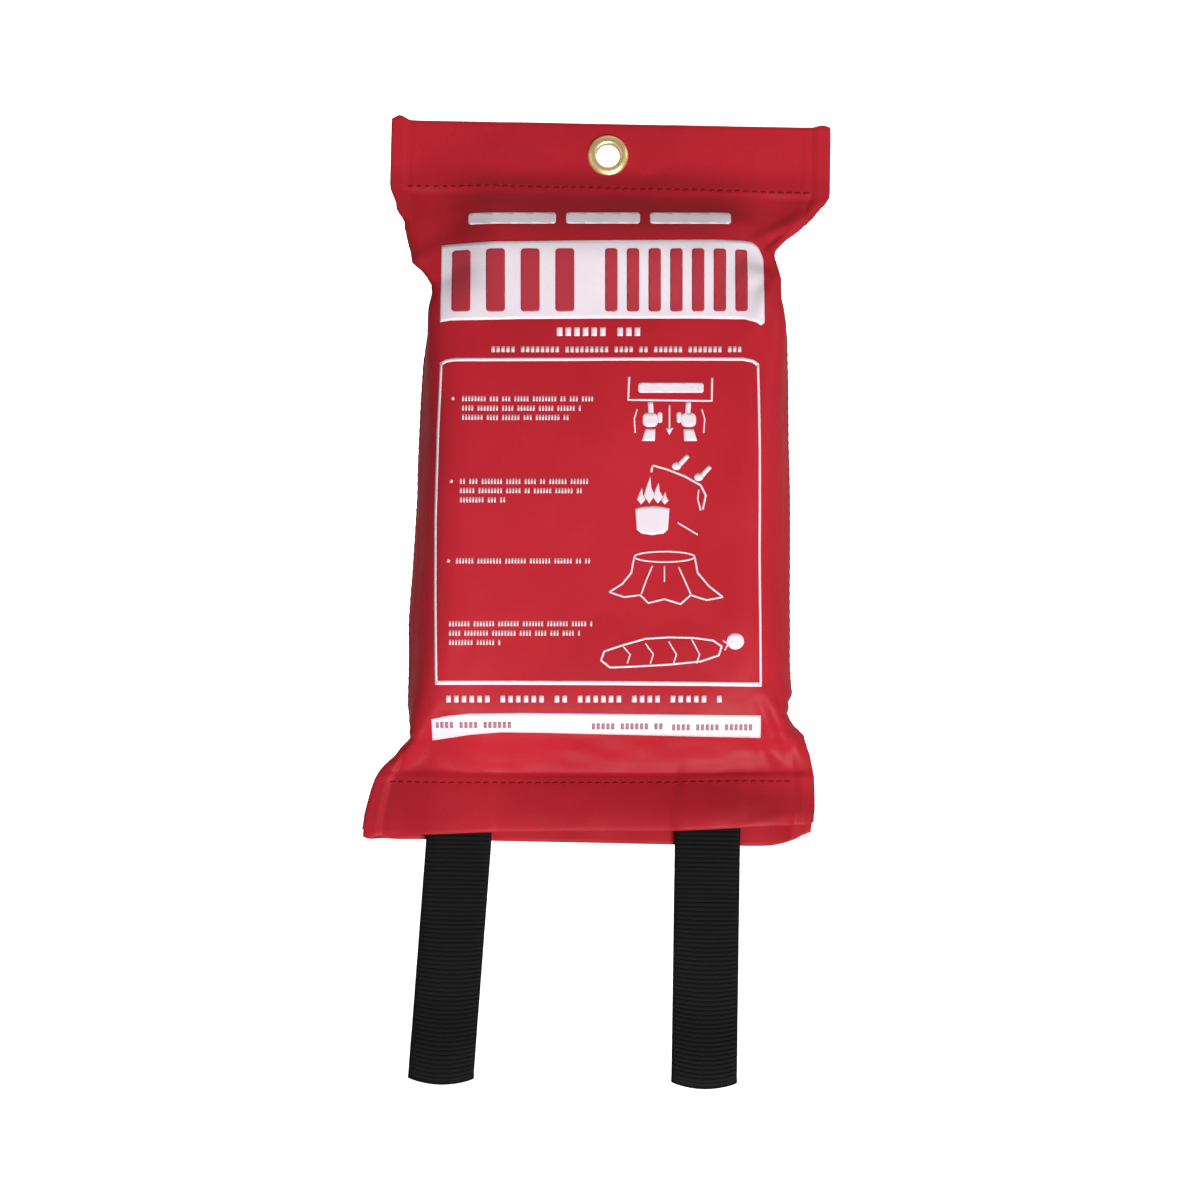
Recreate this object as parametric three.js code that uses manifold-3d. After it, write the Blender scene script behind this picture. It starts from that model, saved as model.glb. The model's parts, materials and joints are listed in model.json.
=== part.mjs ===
// Soft wall-hung fire blanket pack.
// A flat red PVC-coated fabric pouch holds a folded glass-fibre blanket. Two black webbing pull
// straps run up into the blanket and hang out of the pouch's open bottom mouth.
// Units are millimetres, +Z is up, the front faces -Y and +X is to the right seen from the front.
// The pouch's flat back lies in the plane Y = 0.
import * as THREE from 'three';
import Module from 'manifold-3d';

const wasm = await Module();
wasm.setup();

// ---------------------------------------------------------------- driving dimensions
const FABRIC_T = 0.7;             // coated pouch fabric
const PLY_GAP = 0.3;              // clearance between neighbouring plies
const PLY_PITCH = FABRIC_T + PLY_GAP;
const FRONT = { dir: -1, depth: 18.1 };   // dir along Y, depth from the seam plane to the face
const BACK = { dir: 1, depth: 17.4 };
const SEAM_Y = -BACK.depth;       // plane of the side seams, header and mouth
const SEAM_T = 1.6;               // turned-in side seam allowance

const TOP_Z = 142;                // top edge of the header
const HEADER_Z = 116;             // the pouch starts to bulge below this
const HEADER_HEM_Z = HEADER_Z + 1.2;      // header stitch line and the hem ply's lower edge
const HEADER_MID_Z = 124;
const SPLIT_Z = -86;              // below this the fabric bends when the blanket comes out
const SPLIT_GAP = 0.4;            // between the panels above and below the split
const CREASE_Z = -105;            // where the mouth lips start
const FRONT_LIP_Z = -126;         // lower edges of the lips
const BACK_LIP_Z = -132;
const LIP_STITCH_Z = -108.6;
const LIP_HEM_Z = CREASE_Z - 4.5; // upper edge of the lips' hem plies

const STRAP_X = 48;               // strap centre from the middle
const STRAP_T = 1.35;
const STRAP_SLIT = 0.3;           // between the strap's two plies

const THREAD_W = 0.9;
const THREAD_H = 0.45;            // height of the ridges on the pouch
const STRAP_THREAD_H = 0.4;       // height of the stitching on the straps
const STITCH_LIFT = 0.25;         // clearance between stitching and what it lies on

// [z, half width of the pouch], from the header to the flared mouth
const HALF_WIDTH = [
  [142, 83.0], [136, 83.3], [122, 83.1], [116, 82.5], [112, 81.2], [108, 79.4], [104, 76.4],
  [100, 72.9], [96, 69.8], [92, 68.0], [86, 66.8], [78, 66.6], [66, 67.6], [44, 69.2],
  [20, 70.3], [-6, 70.9], [-34, 71.7], [-60, 72.3], [-76, 72.4], [-84, 72.6], [-90, 74.0],
  [-96, 76.6], [-102, 80.0], [-108, 82.6], [-114, 84.1], [-120, 84.9], [-126, 85.1],
  [-132, 84.6],
];
// [z, how far the pouch stands out from the seam plane], 1 is the full depth
const BULGE = [
  [142, 0], [116, 0], [112, 0.05], [108, 0.15], [104, 0.30], [100, 0.48], [96, 0.66],
  [92, 0.82], [88, 0.94], [84, 1], [-86, 1], [-88, 0.985], [-91, 0.92], [-94, 0.78],
  [-97, 0.58], [-100, 0.36], [-103, 0.17], [-105, 0.09], [-108, 0.03], [-112, 0], [-132, 0],
];

// ---------------------------------------------------------------- materials
const MATERIALS = {
  pouch_fabric: { color: 0xb02631, roughness: 0.55 },
  pouch_lip_fabric: { color: 0xa5222d, roughness: 0.55 },
  pouch_seam: { color: 0x96202a, roughness: 0.6 },
  thread_red: { color: 0x8a1b25, roughness: 0.7 },
  eyelet_brass: { color: 0xc9ab5f, roughness: 0.3, metalness: 1 },
  loop_tape: { color: 0x1f1f21, roughness: 0.95 },
  hook_tape: { color: 0x26262a, roughness: 0.8 },
  glass_fibre_blanket: { color: 0xe9e6dc, roughness: 0.85 },
  webbing_black: { color: 0x141416, roughness: 0.8 },
  thread_black: { color: 0x2a2a2e, roughness: 0.7 },
};

const group = new THREE.Group();
group.name = 'fire_blanket_pack';

// every piece gets a material of its own
const add = (name, geometry, materialName) => {
  const material = new THREE.MeshStandardMaterial({ metalness: 0, ...MATERIALS[materialName] });
  material.name = materialName;
  const mesh = new THREE.Mesh(geometry, material);
  mesh.name = name;
  group.add(mesh);
};

// ---------------------------------------------------------------- geometry helpers
const vec = (x, y, z) => new THREE.Vector3(x, y, z);
const vec2List = (points) => points.map((point) => new THREE.Vector2(...point));

// stations from 0 upwards, repeated on the negative side
const mirrored = (stations) => [...stations.slice(1).map((value) => -value).reverse(), ...stations];

// linear interpolation in a table of [z, value] that runs downwards
const lerpTable = (table, z) => {
  if (z >= table[0][0]) return table[0][1];
  for (let i = 1; i < table.length; i++) {
    const [upperZ, upperValue] = table[i - 1];
    const [lowerZ, lowerValue] = table[i];
    if (z >= lowerZ) {
      return lowerValue + (upperValue - lowerValue) * (z - lowerZ) / (upperZ - lowerZ);
    }
  }
  return table[table.length - 1][1];
};
const halfWidth = (z) => lerpTable(HALF_WIDTH, z);

const geometryOf = (positions, index) => {
  const geometry = new THREE.BufferGeometry();
  geometry.setAttribute('position', new THREE.Float32BufferAttribute(positions, 3));
  geometry.setIndex(index);
  geometry.computeVertexNormals();
  return geometry;
};

// the sign of the volume tells whether the triangles must be turned to face outwards
const outward = (positions, index) => {
  const corner = (i) => vec(...positions.slice(3 * i, 3 * i + 3));
  let volume = 0;
  for (let i = 0; i < index.length; i += 3) {
    volume += corner(index[i]).dot(corner(index[i + 1]).cross(corner(index[i + 2])));
  }
  if (volume < 0) {
    for (let i = 0; i < index.length; i += 3) {
      [index[i + 1], index[i + 2]] = [index[i + 2], index[i + 1]];
    }
  }
  return geometryOf(positions, index);
};

// A cloth sheet: rows[i][j] are points of its middle surface. A ring closes in j.
const sheet = (rows, thickness, ring = false) => {
  const rowCount = rows.length;
  const rowLength = rows[0].length;
  const wrap = (j) => (ring
    ? (j + rowLength) % rowLength
    : Math.min(Math.max(j, 0), rowLength - 1));
  const at = (i, j) => rows[Math.min(Math.max(i, 0), rowCount - 1)][wrap(j)];

  const positions = [];
  for (const side of [0.5, -0.5]) {
    for (let i = 0; i < rowCount; i++) {
      for (let j = 0; j < rowLength; j++) {
        const acrossRows = at(i + 1, j).clone().sub(at(i - 1, j));
        const alongRow = at(i, j + 1).clone().sub(at(i, j - 1));
        const normal = acrossRows.cross(alongRow).normalize();
        const point = at(i, j).clone().addScaledVector(normal, side * thickness);
        positions.push(point.x, point.y, point.z);
      }
    }
  }

  const index = [];
  const id = (face, i, j) => (face * rowCount + i) * rowLength + wrap(j);
  const quad = (a, b, c, d) => index.push(a, b, c, a, c, d);
  const lastRow = rowCount - 1;
  const lastPoint = rowLength - 1;
  const stepCount = ring ? rowLength : lastPoint;
  for (let i = 0; i < lastRow; i++) {
    for (let j = 0; j < stepCount; j++) {
      quad(id(0, i, j), id(0, i + 1, j), id(0, i + 1, j + 1), id(0, i, j + 1));
      quad(id(1, i, j), id(1, i, j + 1), id(1, i + 1, j + 1), id(1, i + 1, j));
    }
  }
  for (let j = 0; j < stepCount; j++) {
    quad(id(0, 0, j), id(0, 0, j + 1), id(1, 0, j + 1), id(1, 0, j));
    quad(id(0, lastRow, j + 1), id(0, lastRow, j), id(1, lastRow, j), id(1, lastRow, j + 1));
  }
  if (!ring) {
    for (let i = 0; i < lastRow; i++) {
      quad(id(0, i + 1, 0), id(0, i, 0), id(1, i, 0), id(1, i + 1, 0));
      quad(id(0, i, lastPoint), id(0, i + 1, lastPoint),
        id(1, i + 1, lastPoint), id(1, i, lastPoint));
    }
  }
  return outward(positions, index);
};

// Closed loops of equal length joined into one body. cap lists the triangles of its flat ends.
const loft = (loops, cap) => {
  const loopLength = loops[0].length;
  const positions = loops.flat().flatMap(({ x, y, z }) => [x, y, z]);
  const index = [];
  for (let i = 0; i < loops.length - 1; i++) {
    for (let j = 0; j < loopLength; j++) {
      const here = i * loopLength + j;
      const next = i * loopLength + (j + 1) % loopLength;
      index.push(here, next, next + loopLength, here, next + loopLength, here + loopLength);
    }
  }
  const last = (loops.length - 1) * loopLength;
  for (const [a, b, c] of cap) {
    index.push(c, b, a);
    index.push(last + a, last + b, last + c);
  }
  return outward(positions, index);
};

// triangles of a flat outline, each turning the same way as the outline itself
const capOf = (outline) => {
  const points = vec2List(outline);
  const turnOf = (loop) => Math.sign(THREE.ShapeUtils.area(loop));
  const outlineTurn = turnOf(points);
  return THREE.ShapeUtils.triangulateShape(points, []).map(([a, b, c]) => (
    turnOf([points[a], points[b], points[c]]) === outlineTurn ? [a, b, c] : [c, b, a]));
};

// [across, outwards] as fractions of a thread ridge's width and height
const THREAD_SECTION = [[-0.5, 0], [-0.32, 0.75], [0, 1], [0.32, 0.75], [0.5, 0]];

// a thread ridge along a line of points, standing out along Y towards dir
const thread = (points, dir, { width = THREAD_W, height = THREAD_H } = {}) => {
  const out = vec(0, dir, 0);
  const loops = points.map((point, i) => {
    const next = points[Math.min(i + 1, points.length - 1)];
    const previous = points[Math.max(i - 1, 0)];
    const across = next.clone().sub(previous).normalize().cross(out).normalize();
    return THREAD_SECTION.map(([side, rise]) => point.clone()
      .addScaledVector(across, side * width)
      .addScaledVector(out, rise * height));
  });
  return loft(loops, capOf(THREAD_SECTION));
};

// merges equal vertices of a three.js primitive so that it is one closed surface
const weld = (geometry) => {
  const source = geometry.attributes.position;
  const seen = new Map();
  const positions = [];
  const welded = [];
  for (let i = 0; i < source.count; i++) {
    const point = [source.getX(i), source.getY(i), source.getZ(i)]
      .map((value) => Math.round(value * 1e5) / 1e5 + 0);
    const key = point.join(',');
    if (!seen.has(key)) {
      seen.set(key, positions.length / 3);
      positions.push(...point);
    }
    welded.push(seen.get(key));
  }
  const corners = geometry.index ? Array.from(geometry.index.array) : [...welded.keys()];
  const index = [];
  for (let i = 0; i < corners.length; i += 3) {
    const [a, b, c] = corners.slice(i, i + 3).map((corner) => welded[corner]);
    if (a !== b && b !== c && c !== a) index.push(a, b, c);
  }
  return outward(positions, index);
};

const toManifold = (geometry) => new wasm.Manifold(new wasm.Mesh({
  numProp: 3,
  vertProperties: Float32Array.from(geometry.attributes.position.array),
  triVerts: Uint32Array.from(geometry.index.array),
}));
const fromManifold = (solid) => {
  const mesh = solid.getMesh();
  return geometryOf(Array.from(mesh.vertProperties), Array.from(mesh.triVerts));
};

// ---------------------------------------------------------------- pouch surfaces
// s runs across the pouch, from -1 at the left side seam to 1 at the right one
const S = mirrored([0, 0.24, 0.48, 0.62, 0.71, 0.79, 0.86, 0.915, 0.955, 0.98, 1]);
const FLAT_S = 0.62;              // the middle of the pouch is flat up to here
const ROUNDING = 3.2;             // superellipse exponent of the rounded sides

// 1 across the flat middle of the pouch, falling to 0 at the side seam
const section = (s) => {
  const past = (Math.abs(s) - FLAT_S) / (1 - FLAT_S);
  return past <= 0 ? 1 : Math.max(0, 1 - past ** ROUNDING) ** (1 / ROUNDING);
};

// Distances of a ply's middle from the seam plane
const EDGE_OFF = SEAM_T / 2 + PLY_GAP + FABRIC_T / 2;     // beside the turned-in seam
const INNER_OFF = 0.2 + FABRIC_T / 2;                     // header hem ply
const MOUTH_OFF = (2 * STRAP_T + STRAP_SLIT) / 2 + 0.45 + FABRIC_T / 2;   // mouth hem ply

// the header plies spread a little at the sides to hold the turned-in seam
const SPREAD_START_S = 0.86;
const SPREAD_LENGTH_S = 0.1;
const headerOffset = (s) => {
  const t = Math.min(1, Math.max(0, (Math.abs(s) - SPREAD_START_S) / SPREAD_LENGTH_S));
  return INNER_OFF + (EDGE_OFF - INNER_OFF) * t * t * (3 - 2 * t);
};
const innerOffset = (s, z) => (z > 0 ? headerOffset(s) : MOUTH_OFF);

// middle surface of the inner (hem) ply
const innerPoint = (s, z, { dir }) => vec(s * halfWidth(z), SEAM_Y + dir * innerOffset(s, z), z);

// middle surface of the outer ply, moved outwards by lift
const outerPoint = (s, z, { dir, depth }, lift = 0) => {
  const flatOffset = innerOffset(s, z) + PLY_PITCH;
  const fullOffset = depth - FABRIC_T / 2;
  const bulge = lerpTable(BULGE, z);
  const edge = EDGE_OFF + (flatOffset - EDGE_OFF) * (1 - bulge);
  const middle = flatOffset + (fullOffset - flatOffset) * bulge;
  const offset = edge + (middle - edge) * section(s);
  return vec(s * halfWidth(z), SEAM_Y + dir * (offset + lift), z);
};

// points between two plies around their fold, which reaches rise above (or below) them
const FOLD_STEPS = 6;
const foldPoints = (from, to, rise) => {
  const points = [];
  for (let k = 1; k < FOLD_STEPS; k++) {
    const angle = Math.PI * k / FOLD_STEPS;
    const y = (from.y + to.y) / 2 + (from.y - to.y) / 2 * Math.cos(angle);
    points.push(vec(from.x, y, from.z + rise * Math.sin(angle)));
  }
  return points;
};

// ---------------------------------------------------------------- pouch panels and lips
const PANEL_Z = [HEADER_Z, 112, 108, 104, 100, 96, 92, 88, 84, 76, 66, 44, 20, -6, -34, -60,
  -76, SPLIT_Z];
const LOWER_Z = [-91, -94, -97, -100, -103];
const LOWER_PANEL_Z = [SPLIT_Z - SPLIT_GAP, -88.2, ...LOWER_Z];
const FOLD_R = PLY_PITCH / 2;

// main panel: hem ply inside the header, fold along the top edge, then down the outside
const mainPanel = (face) => {
  const foldZ = TOP_Z - FABRIC_T / 2 - FOLD_R;
  return sheet(S.map((s) => [
    ...[HEADER_HEM_Z, HEADER_MID_Z, foldZ].map((z) => innerPoint(s, z, face)),
    ...foldPoints(innerPoint(s, foldZ, face), outerPoint(s, foldZ, face), FOLD_R),
    ...[foldZ, HEADER_MID_Z, ...PANEL_Z].map((z) => outerPoint(s, z, face)),
  ]), FABRIC_T);
};

// mouth lip: outer ply, fold along its lower edge and the hem ply up the inside
const mouthLip = (face, edgeZ, outerZ) => {
  const foldZ = edgeZ + FABRIC_T / 2 + FOLD_R;
  return sheet(S.map((s) => [
    ...[...outerZ, foldZ].map((z) => outerPoint(s, z, face)),
    ...foldPoints(outerPoint(s, foldZ, face), innerPoint(s, foldZ, face), -FOLD_R),
    ...[foldZ, LIP_HEM_Z].map((z) => innerPoint(s, z, face)),
  ]), FABRIC_T);
};

const frontLowerPanel = () => sheet(S.map((s) => [...LOWER_PANEL_Z, CREASE_Z + 0.2]
  .map((z) => outerPoint(s, z, FRONT))), FABRIC_T);

// round hole for the eyelet, along Y through the header
const EYELET_Z = 130.4;
const EYELET_HOLE_R = 4.5;
const EYELET_R = 7.5;
const EYELET_WALL = 0.55;
const BARREL_R = EYELET_HOLE_R + EYELET_WALL;
const FABRIC_HOLE_R = BARREL_R + 0.3;
const DRILL_LENGTH = 30;
const ROUND_SEGMENTS = 40;
const punch = (geometry) => {
  const drill = new THREE.CylinderGeometry(
    FABRIC_HOLE_R, FABRIC_HOLE_R, DRILL_LENGTH, ROUND_SEGMENTS);
  drill.translate(0, SEAM_Y, EYELET_Z);
  return fromManifold(toManifold(geometry).subtract(toManifold(weld(drill))));
};

add('front_panel', punch(mainPanel(FRONT)), 'pouch_fabric');
add('back_panel', punch(mainPanel(BACK)), 'pouch_fabric');
add('front_lower_panel', frontLowerPanel(), 'pouch_fabric');
add('front_mouth_lip', mouthLip(FRONT, FRONT_LIP_Z, [CREASE_Z - 0.25, -108, -112, -118]),
  'pouch_lip_fabric');
add('back_mouth_lip', mouthLip(BACK, BACK_LIP_Z,
  [...LOWER_PANEL_Z, CREASE_Z, -108, -112, -120]), 'pouch_lip_fabric');

// ---------------------------------------------------------------- side seams
// [z, width of the turned-in allowance], wide where the pouch is flat, narrow at the blanket
const SEAM_IN = [
  [142, 5.2], [112, 5.0], [102, 3.4], [92, 2.3], [-84, 2.3], [-96, 3.4], [-108, 5.2], [-132, 5.2],
];
const SEAM_Z = [140.6, 136, 122, 116, 112, 108, 104, 100, 96, 92, 86, 78, 66, 44, 20, -6, -34,
  -60, -76, -84, -90, -96, -102, -108, -114, -120, -125.6];
const SEAM_OUT = 0.75;            // how far the seam stands out beyond the fabric
const SEAM_CHAMFER = 0.5;

const sideSeam = (side) => {
  const halfT = SEAM_T / 2;
  const loops = SEAM_Z.map((z) => {
    const outerX = halfWidth(z) + SEAM_OUT;
    const innerX = halfWidth(z) - lerpTable(SEAM_IN, z);
    return [
      [innerX, -halfT], [outerX - SEAM_CHAMFER, -halfT], [outerX, -halfT + SEAM_CHAMFER],
      [outerX, halfT - SEAM_CHAMFER], [outerX - SEAM_CHAMFER, halfT], [innerX, halfT],
    ].map(([x, y]) => vec(side * x, SEAM_Y + y, z));
  });
  // an outline of the same kind gives the triangles of the ends
  return loft(loops, capOf([[0, -1], [2, -1], [3, -0.5], [3, 0.5], [2, 1], [0, 1]]));
};
add('left_side_seam', sideSeam(-1), 'pouch_seam');
add('right_side_seam', sideSeam(1), 'pouch_seam');

// ---------------------------------------------------------------- pouch stitch lines
const stitchAcross = (face, { z, endS, steps }) => {
  const points = Array.from({ length: steps + 1 }, (_, i) => (
    outerPoint(-endS + 2 * endS * i / steps, z, face, FABRIC_T / 2 + STITCH_LIFT)));
  return thread(points, face.dir);
};
const HEADER_STITCH = { z: HEADER_HEM_Z, endS: 0.93, steps: 30 };
const LIP_STITCH = { z: LIP_STITCH_Z, endS: 0.94, steps: 12 };
add('header_stitch_front', stitchAcross(FRONT, HEADER_STITCH), 'thread_red');
add('header_stitch_back', stitchAcross(BACK, HEADER_STITCH), 'thread_red');
add('front_lip_stitch', stitchAcross(FRONT, LIP_STITCH), 'thread_red');
add('back_lip_stitch', stitchAcross(BACK, LIP_STITCH), 'thread_red');

// ---------------------------------------------------------------- eyelet
const EYELET_GAP = 0.25;          // clearance between the eyelet parts and the fabric
const WASHER_T = 0.6;
const HEADER_FACE = INNER_OFF + PLY_PITCH + FABRIC_T / 2 + EYELET_GAP;

// turns a closed profile of [radius, y from the seam plane] about the eyelet's axis
const turned = (profile) => {
  const lathe = new THREE.LatheGeometry(vec2List([...profile, profile[0]]), ROUND_SEGMENTS);
  const geometry = weld(lathe);
  geometry.translate(0, SEAM_Y, EYELET_Z);
  return geometry;
};

// front flange, barrel and the lip rolled over the washer in one piece
const eyelet = () => {
  const front = -HEADER_FACE;
  const back = HEADER_FACE + WASHER_T + EYELET_GAP;
  return turned([
    [EYELET_HOLE_R, front - 0.9], [EYELET_HOLE_R + 0.5, front - 1.35], [5.9, front - 1.5],
    [6.9, front - 1.15], [EYELET_R, front - 0.35], [EYELET_R, front],
    [BARREL_R, front], [BARREL_R, back],
    [6.3, back], [6.45, back + 0.4], [6.0, back + 0.85], [5.3, back + 1.0],
    [EYELET_HOLE_R + 0.3, back + 0.75], [EYELET_HOLE_R, back + 0.2],
  ]);
};
const eyeletWasher = () => {
  const front = HEADER_FACE;
  const back = front + WASHER_T;
  const holeR = BARREL_R + EYELET_GAP;
  return turned([
    [holeR, front], [EYELET_R, front], [EYELET_R + 0.15, front + 0.3], [EYELET_R - 0.3, back],
    [holeR, back],
  ]);
};
add('eyelet', eyelet(), 'eyelet_brass');
add('eyelet_washer', eyeletWasher(), 'eyelet_brass');

// ---------------------------------------------------------------- hook-and-loop closure
const TAPE_HALF_L = 29;           // the tapes lie between the straps
const TAPE_H = 14;
const TAPE_T = 1.35;
const TAPE_TOP_Z = -109;
const TAPE_OFF = 0.2;             // seam plane to the near face of each tape
const TAPE_CHAMFER = 1.2;

const tape = (dir) => {
  const bottomZ = TAPE_TOP_Z - TAPE_H;
  const chamferX = TAPE_HALF_L - TAPE_CHAMFER;
  const outline = [
    [-TAPE_HALF_L, bottomZ + TAPE_CHAMFER], [-chamferX, bottomZ],
    [chamferX, bottomZ], [TAPE_HALF_L, bottomZ + TAPE_CHAMFER],
    [TAPE_HALF_L, TAPE_TOP_Z - TAPE_CHAMFER], [chamferX, TAPE_TOP_Z],
    [-chamferX, TAPE_TOP_Z], [-TAPE_HALF_L, TAPE_TOP_Z - TAPE_CHAMFER],
  ];
  const loops = [TAPE_OFF, TAPE_OFF + TAPE_T]
    .map((offset) => outline.map(([x, z]) => vec(x, SEAM_Y + dir * offset, z)));
  return loft(loops, capOf(outline));
};
add('loop_tape', tape(FRONT.dir), 'loop_tape');
add('hook_tape', tape(BACK.dir), 'hook_tape');

// ---------------------------------------------------------------- folded blanket
// The blanket is one winding sheet of six upright pleats, folded by turns at top and bottom.
const BLANKET_HALF_W = 64;
const BLANKET_BACK_Y = -1.2;
const BLANKET_TOP_Z = 86;
const BLANKET_BOTTOM_Z = -85.5;
const PLEATS = 6;
const PLEAT_T = 4.5;
const PLEAT_GAP = 0.4;
const STRAP_POCKET = 4.4;         // middle gap, which takes the straps and opens downwards
const TURN_RATIO = 0.9;           // height of a turn over its half depth
const INNER_TURN_H = 1.6;         // greatest height of a turn's inside

// back and front face of each pleat, from the back of the blanket to its front
const pleats = [];
let pleatBackY = BLANKET_BACK_Y;
for (let i = 0; i < PLEATS; i++) {
  pleats.push({ backY: pleatBackY, frontY: pleatBackY - PLEAT_T });
  pleatBackY -= PLEAT_T + (i === PLEATS / 2 - 1 ? STRAP_POCKET : PLEAT_GAP);
}
const firstPleat = pleats[0];
const lastPleat = pleats[PLEATS - 1];
const BLANKET_MID_Y = (firstPleat.backY + lastPleat.frontY) / 2;
const BLANKET_HALF_D = (firstPleat.backY - lastPleat.frontY) / 2;

// the turns of the middle pleats reach furthest up and down
const turnEndZ = (y, atTop) => {
  const away = Math.abs(y - BLANKET_MID_Y) / BLANKET_HALF_D;
  return atTop ? BLANKET_TOP_Z - 5.5 * away ** 3 : BLANKET_BOTTOM_Z + 3 * away ** 3;
};

// half ellipse from backY to frontY, over the top or under the bottom
const turnArc = ({ backY, frontY, baseZ, height, steps }) => {
  const midY = (backY + frontY) / 2;
  const points = [];
  for (let k = steps; k >= 0; k--) {
    const angle = Math.PI * (1 - k / steps);
    points.push([midY + (backY - frontY) / 2 * Math.cos(angle), baseZ + height * Math.sin(angle)]);
  }
  return points;
};

// free lower end of a pleat, from its front face to its back face
const freeEnd = ({ backY, frontY }) => {
  const chamfer = 0.8;
  const faceZ = BLANKET_BOTTOM_Z + 5.2;
  const endZ = BLANKET_BOTTOM_Z + 4.2;
  return [[frontY, faceZ], [frontY + chamfer, endZ], [backY - chamfer, endZ], [backY, faceZ]];
};

// [y, z] outline: along one face of the sheet to the front, back along the other face
const blanketOutline = () => {
  const forwards = [];
  const returning = [];
  for (let i = 0; i < PLEATS - 1; i++) {
    const atTop = i % 2 === 0;
    const up = atTop ? 1 : -1;
    const [rear, fore] = [pleats[i], pleats[i + 1]];
    const outerHeight = (rear.backY - fore.frontY) / 2 * TURN_RATIO;
    const baseZ = turnEndZ((rear.backY + fore.frontY) / 2, atTop) - up * outerHeight;
    const outer = turnArc({
      backY: rear.backY, frontY: fore.frontY, baseZ, height: up * outerHeight, steps: 8,
    });
    const innerHeight = Math.min(INNER_TURN_H, (rear.frontY - fore.backY) / 2 + 0.2);
    const inner = turnArc({
      backY: rear.frontY, frontY: fore.backY, baseZ, height: up * innerHeight, steps: 4,
    });
    forwards.push(...(atTop ? outer : inner));
    returning.push(...(atTop ? inner : outer));
  }
  return [...freeEnd(firstPleat), ...forwards, ...freeEnd(lastPleat), ...returning.reverse()];
};

// thins the blanket towards its left and right edges but leaves the strap pocket open
const squeeze = (y, x) => {
  const core = STRAP_POCKET / 2;
  const offset = y - BLANKET_MID_Y;
  const distance = Math.abs(offset);
  if (distance <= core) return y;
  const halfDepth = BLANKET_HALF_D * (1 - Math.abs(x / (BLANKET_HALF_W + 0.6)) ** 6) ** (1 / 6);
  const scale = (halfDepth - core) / (BLANKET_HALF_D - core);
  return BLANKET_MID_Y + Math.sign(offset) * (core + (distance - core) * scale);
};

const BLANKET_X = mirrored([0, 25, 42, 51, 56.5, 60, 62.3, 63.5, BLANKET_HALF_W]);
const foldedBlanket = () => {
  const outline = blanketOutline();
  const loops = BLANKET_X.map((x) => outline.map(([y, z]) => vec(x, squeeze(y, x), z)));
  return loft(loops, capOf(outline));
};
add('folded_blanket', foldedBlanket(), 'glass_fibre_blanket');

// ---------------------------------------------------------------- pull straps
const STRAP_W = 25;
const STRAP_PLY_OFF = (STRAP_SLIT + STRAP_T) / 2;   // middle of a ply from the seam plane
const STRAP_TOP_Z = -44;          // top of the sewn end, inside the folded blanket
const STRAP_STATION_Z = -82;      // a row of points on the way down the sewn end
const STRAP_PIVOT_Z = -134.2;     // where the hanging part of a strap bends
const STRAP_GAP = 0.35;           // between the sewn end and the hanging loop
const STRAP_END_Z = -224.6;       // strap end at its edges
const STRAP_SAG = 2.6;            // how much lower the middle of the end hangs
const LOOP_END_R = 2.3;           // soft fold at the lower end
const STRAP_STITCH_Y = SEAM_Y - STRAP_PLY_OFF - STRAP_T / 2 - STITCH_LIFT;

// [fraction of the way down, fraction of the widening to the lower fold]
const LOOP_WIDENING = [[0.3, 0], [0.62, 0.06], [0.82, 0.35], [0.93, 0.8]];

// half circle over the top from the back ply to the front ply
const strapTopBend = (x, baseZ) => Array.from({ length: 7 }, (_, k) => {
  const angle = Math.PI * (k / 6);
  return vec(x, SEAM_Y + STRAP_PLY_OFF * Math.cos(angle), baseZ + STRAP_PLY_OFF * Math.sin(angle));
});

// u runs across the strap from -1 to 1
const hangingLoop = (centreX) => sheet([-1, -0.72, -0.36, 0, 0.36, 0.72, 1].map((u) => {
  const x = centreX + u * STRAP_W / 2;
  const endZ = STRAP_END_Z - STRAP_SAG * (1 - u * u);
  const foldZ = endZ + LOOP_END_R + STRAP_T / 2;
  const plyPoints = (dir) => LOOP_WIDENING.map(([down, widen]) => vec(
    x,
    SEAM_Y + dir * (STRAP_PLY_OFF + (LOOP_END_R - STRAP_PLY_OFF) * widen),
    STRAP_PIVOT_Z + (foldZ - STRAP_PIVOT_Z) * down,
  ));
  const lowerFold = Array.from({ length: 9 }, (_, k) => {
    const angle = Math.PI * (1 + k / 8);
    return vec(x, SEAM_Y + LOOP_END_R * Math.cos(angle), foldZ + LOOP_END_R * Math.sin(angle));
  });
  return [
    ...strapTopBend(x, STRAP_PIVOT_Z), ...plyPoints(FRONT.dir),
    ...lowerFold, ...plyPoints(BACK.dir).reverse(),
  ];
}), STRAP_T, true);

const sewnEnd = (centreX) => {
  const lowZ = STRAP_PIVOT_Z + STRAP_PLY_OFF + STRAP_T / 2 + STRAP_GAP;
  const bendZ = STRAP_TOP_Z - STRAP_PLY_OFF - STRAP_T / 2;
  return sheet([-1, 0, 1].map((u) => {
    const x = centreX + u * STRAP_W / 2;
    return [
      ...[lowZ, STRAP_STATION_Z].map((z) => vec(x, SEAM_Y + STRAP_PLY_OFF, z)),
      ...strapTopBend(x, bendZ),
      ...[STRAP_STATION_Z, lowZ].map((z) => vec(x, SEAM_Y - STRAP_PLY_OFF, z)),
    ];
  }), STRAP_T);
};

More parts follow.
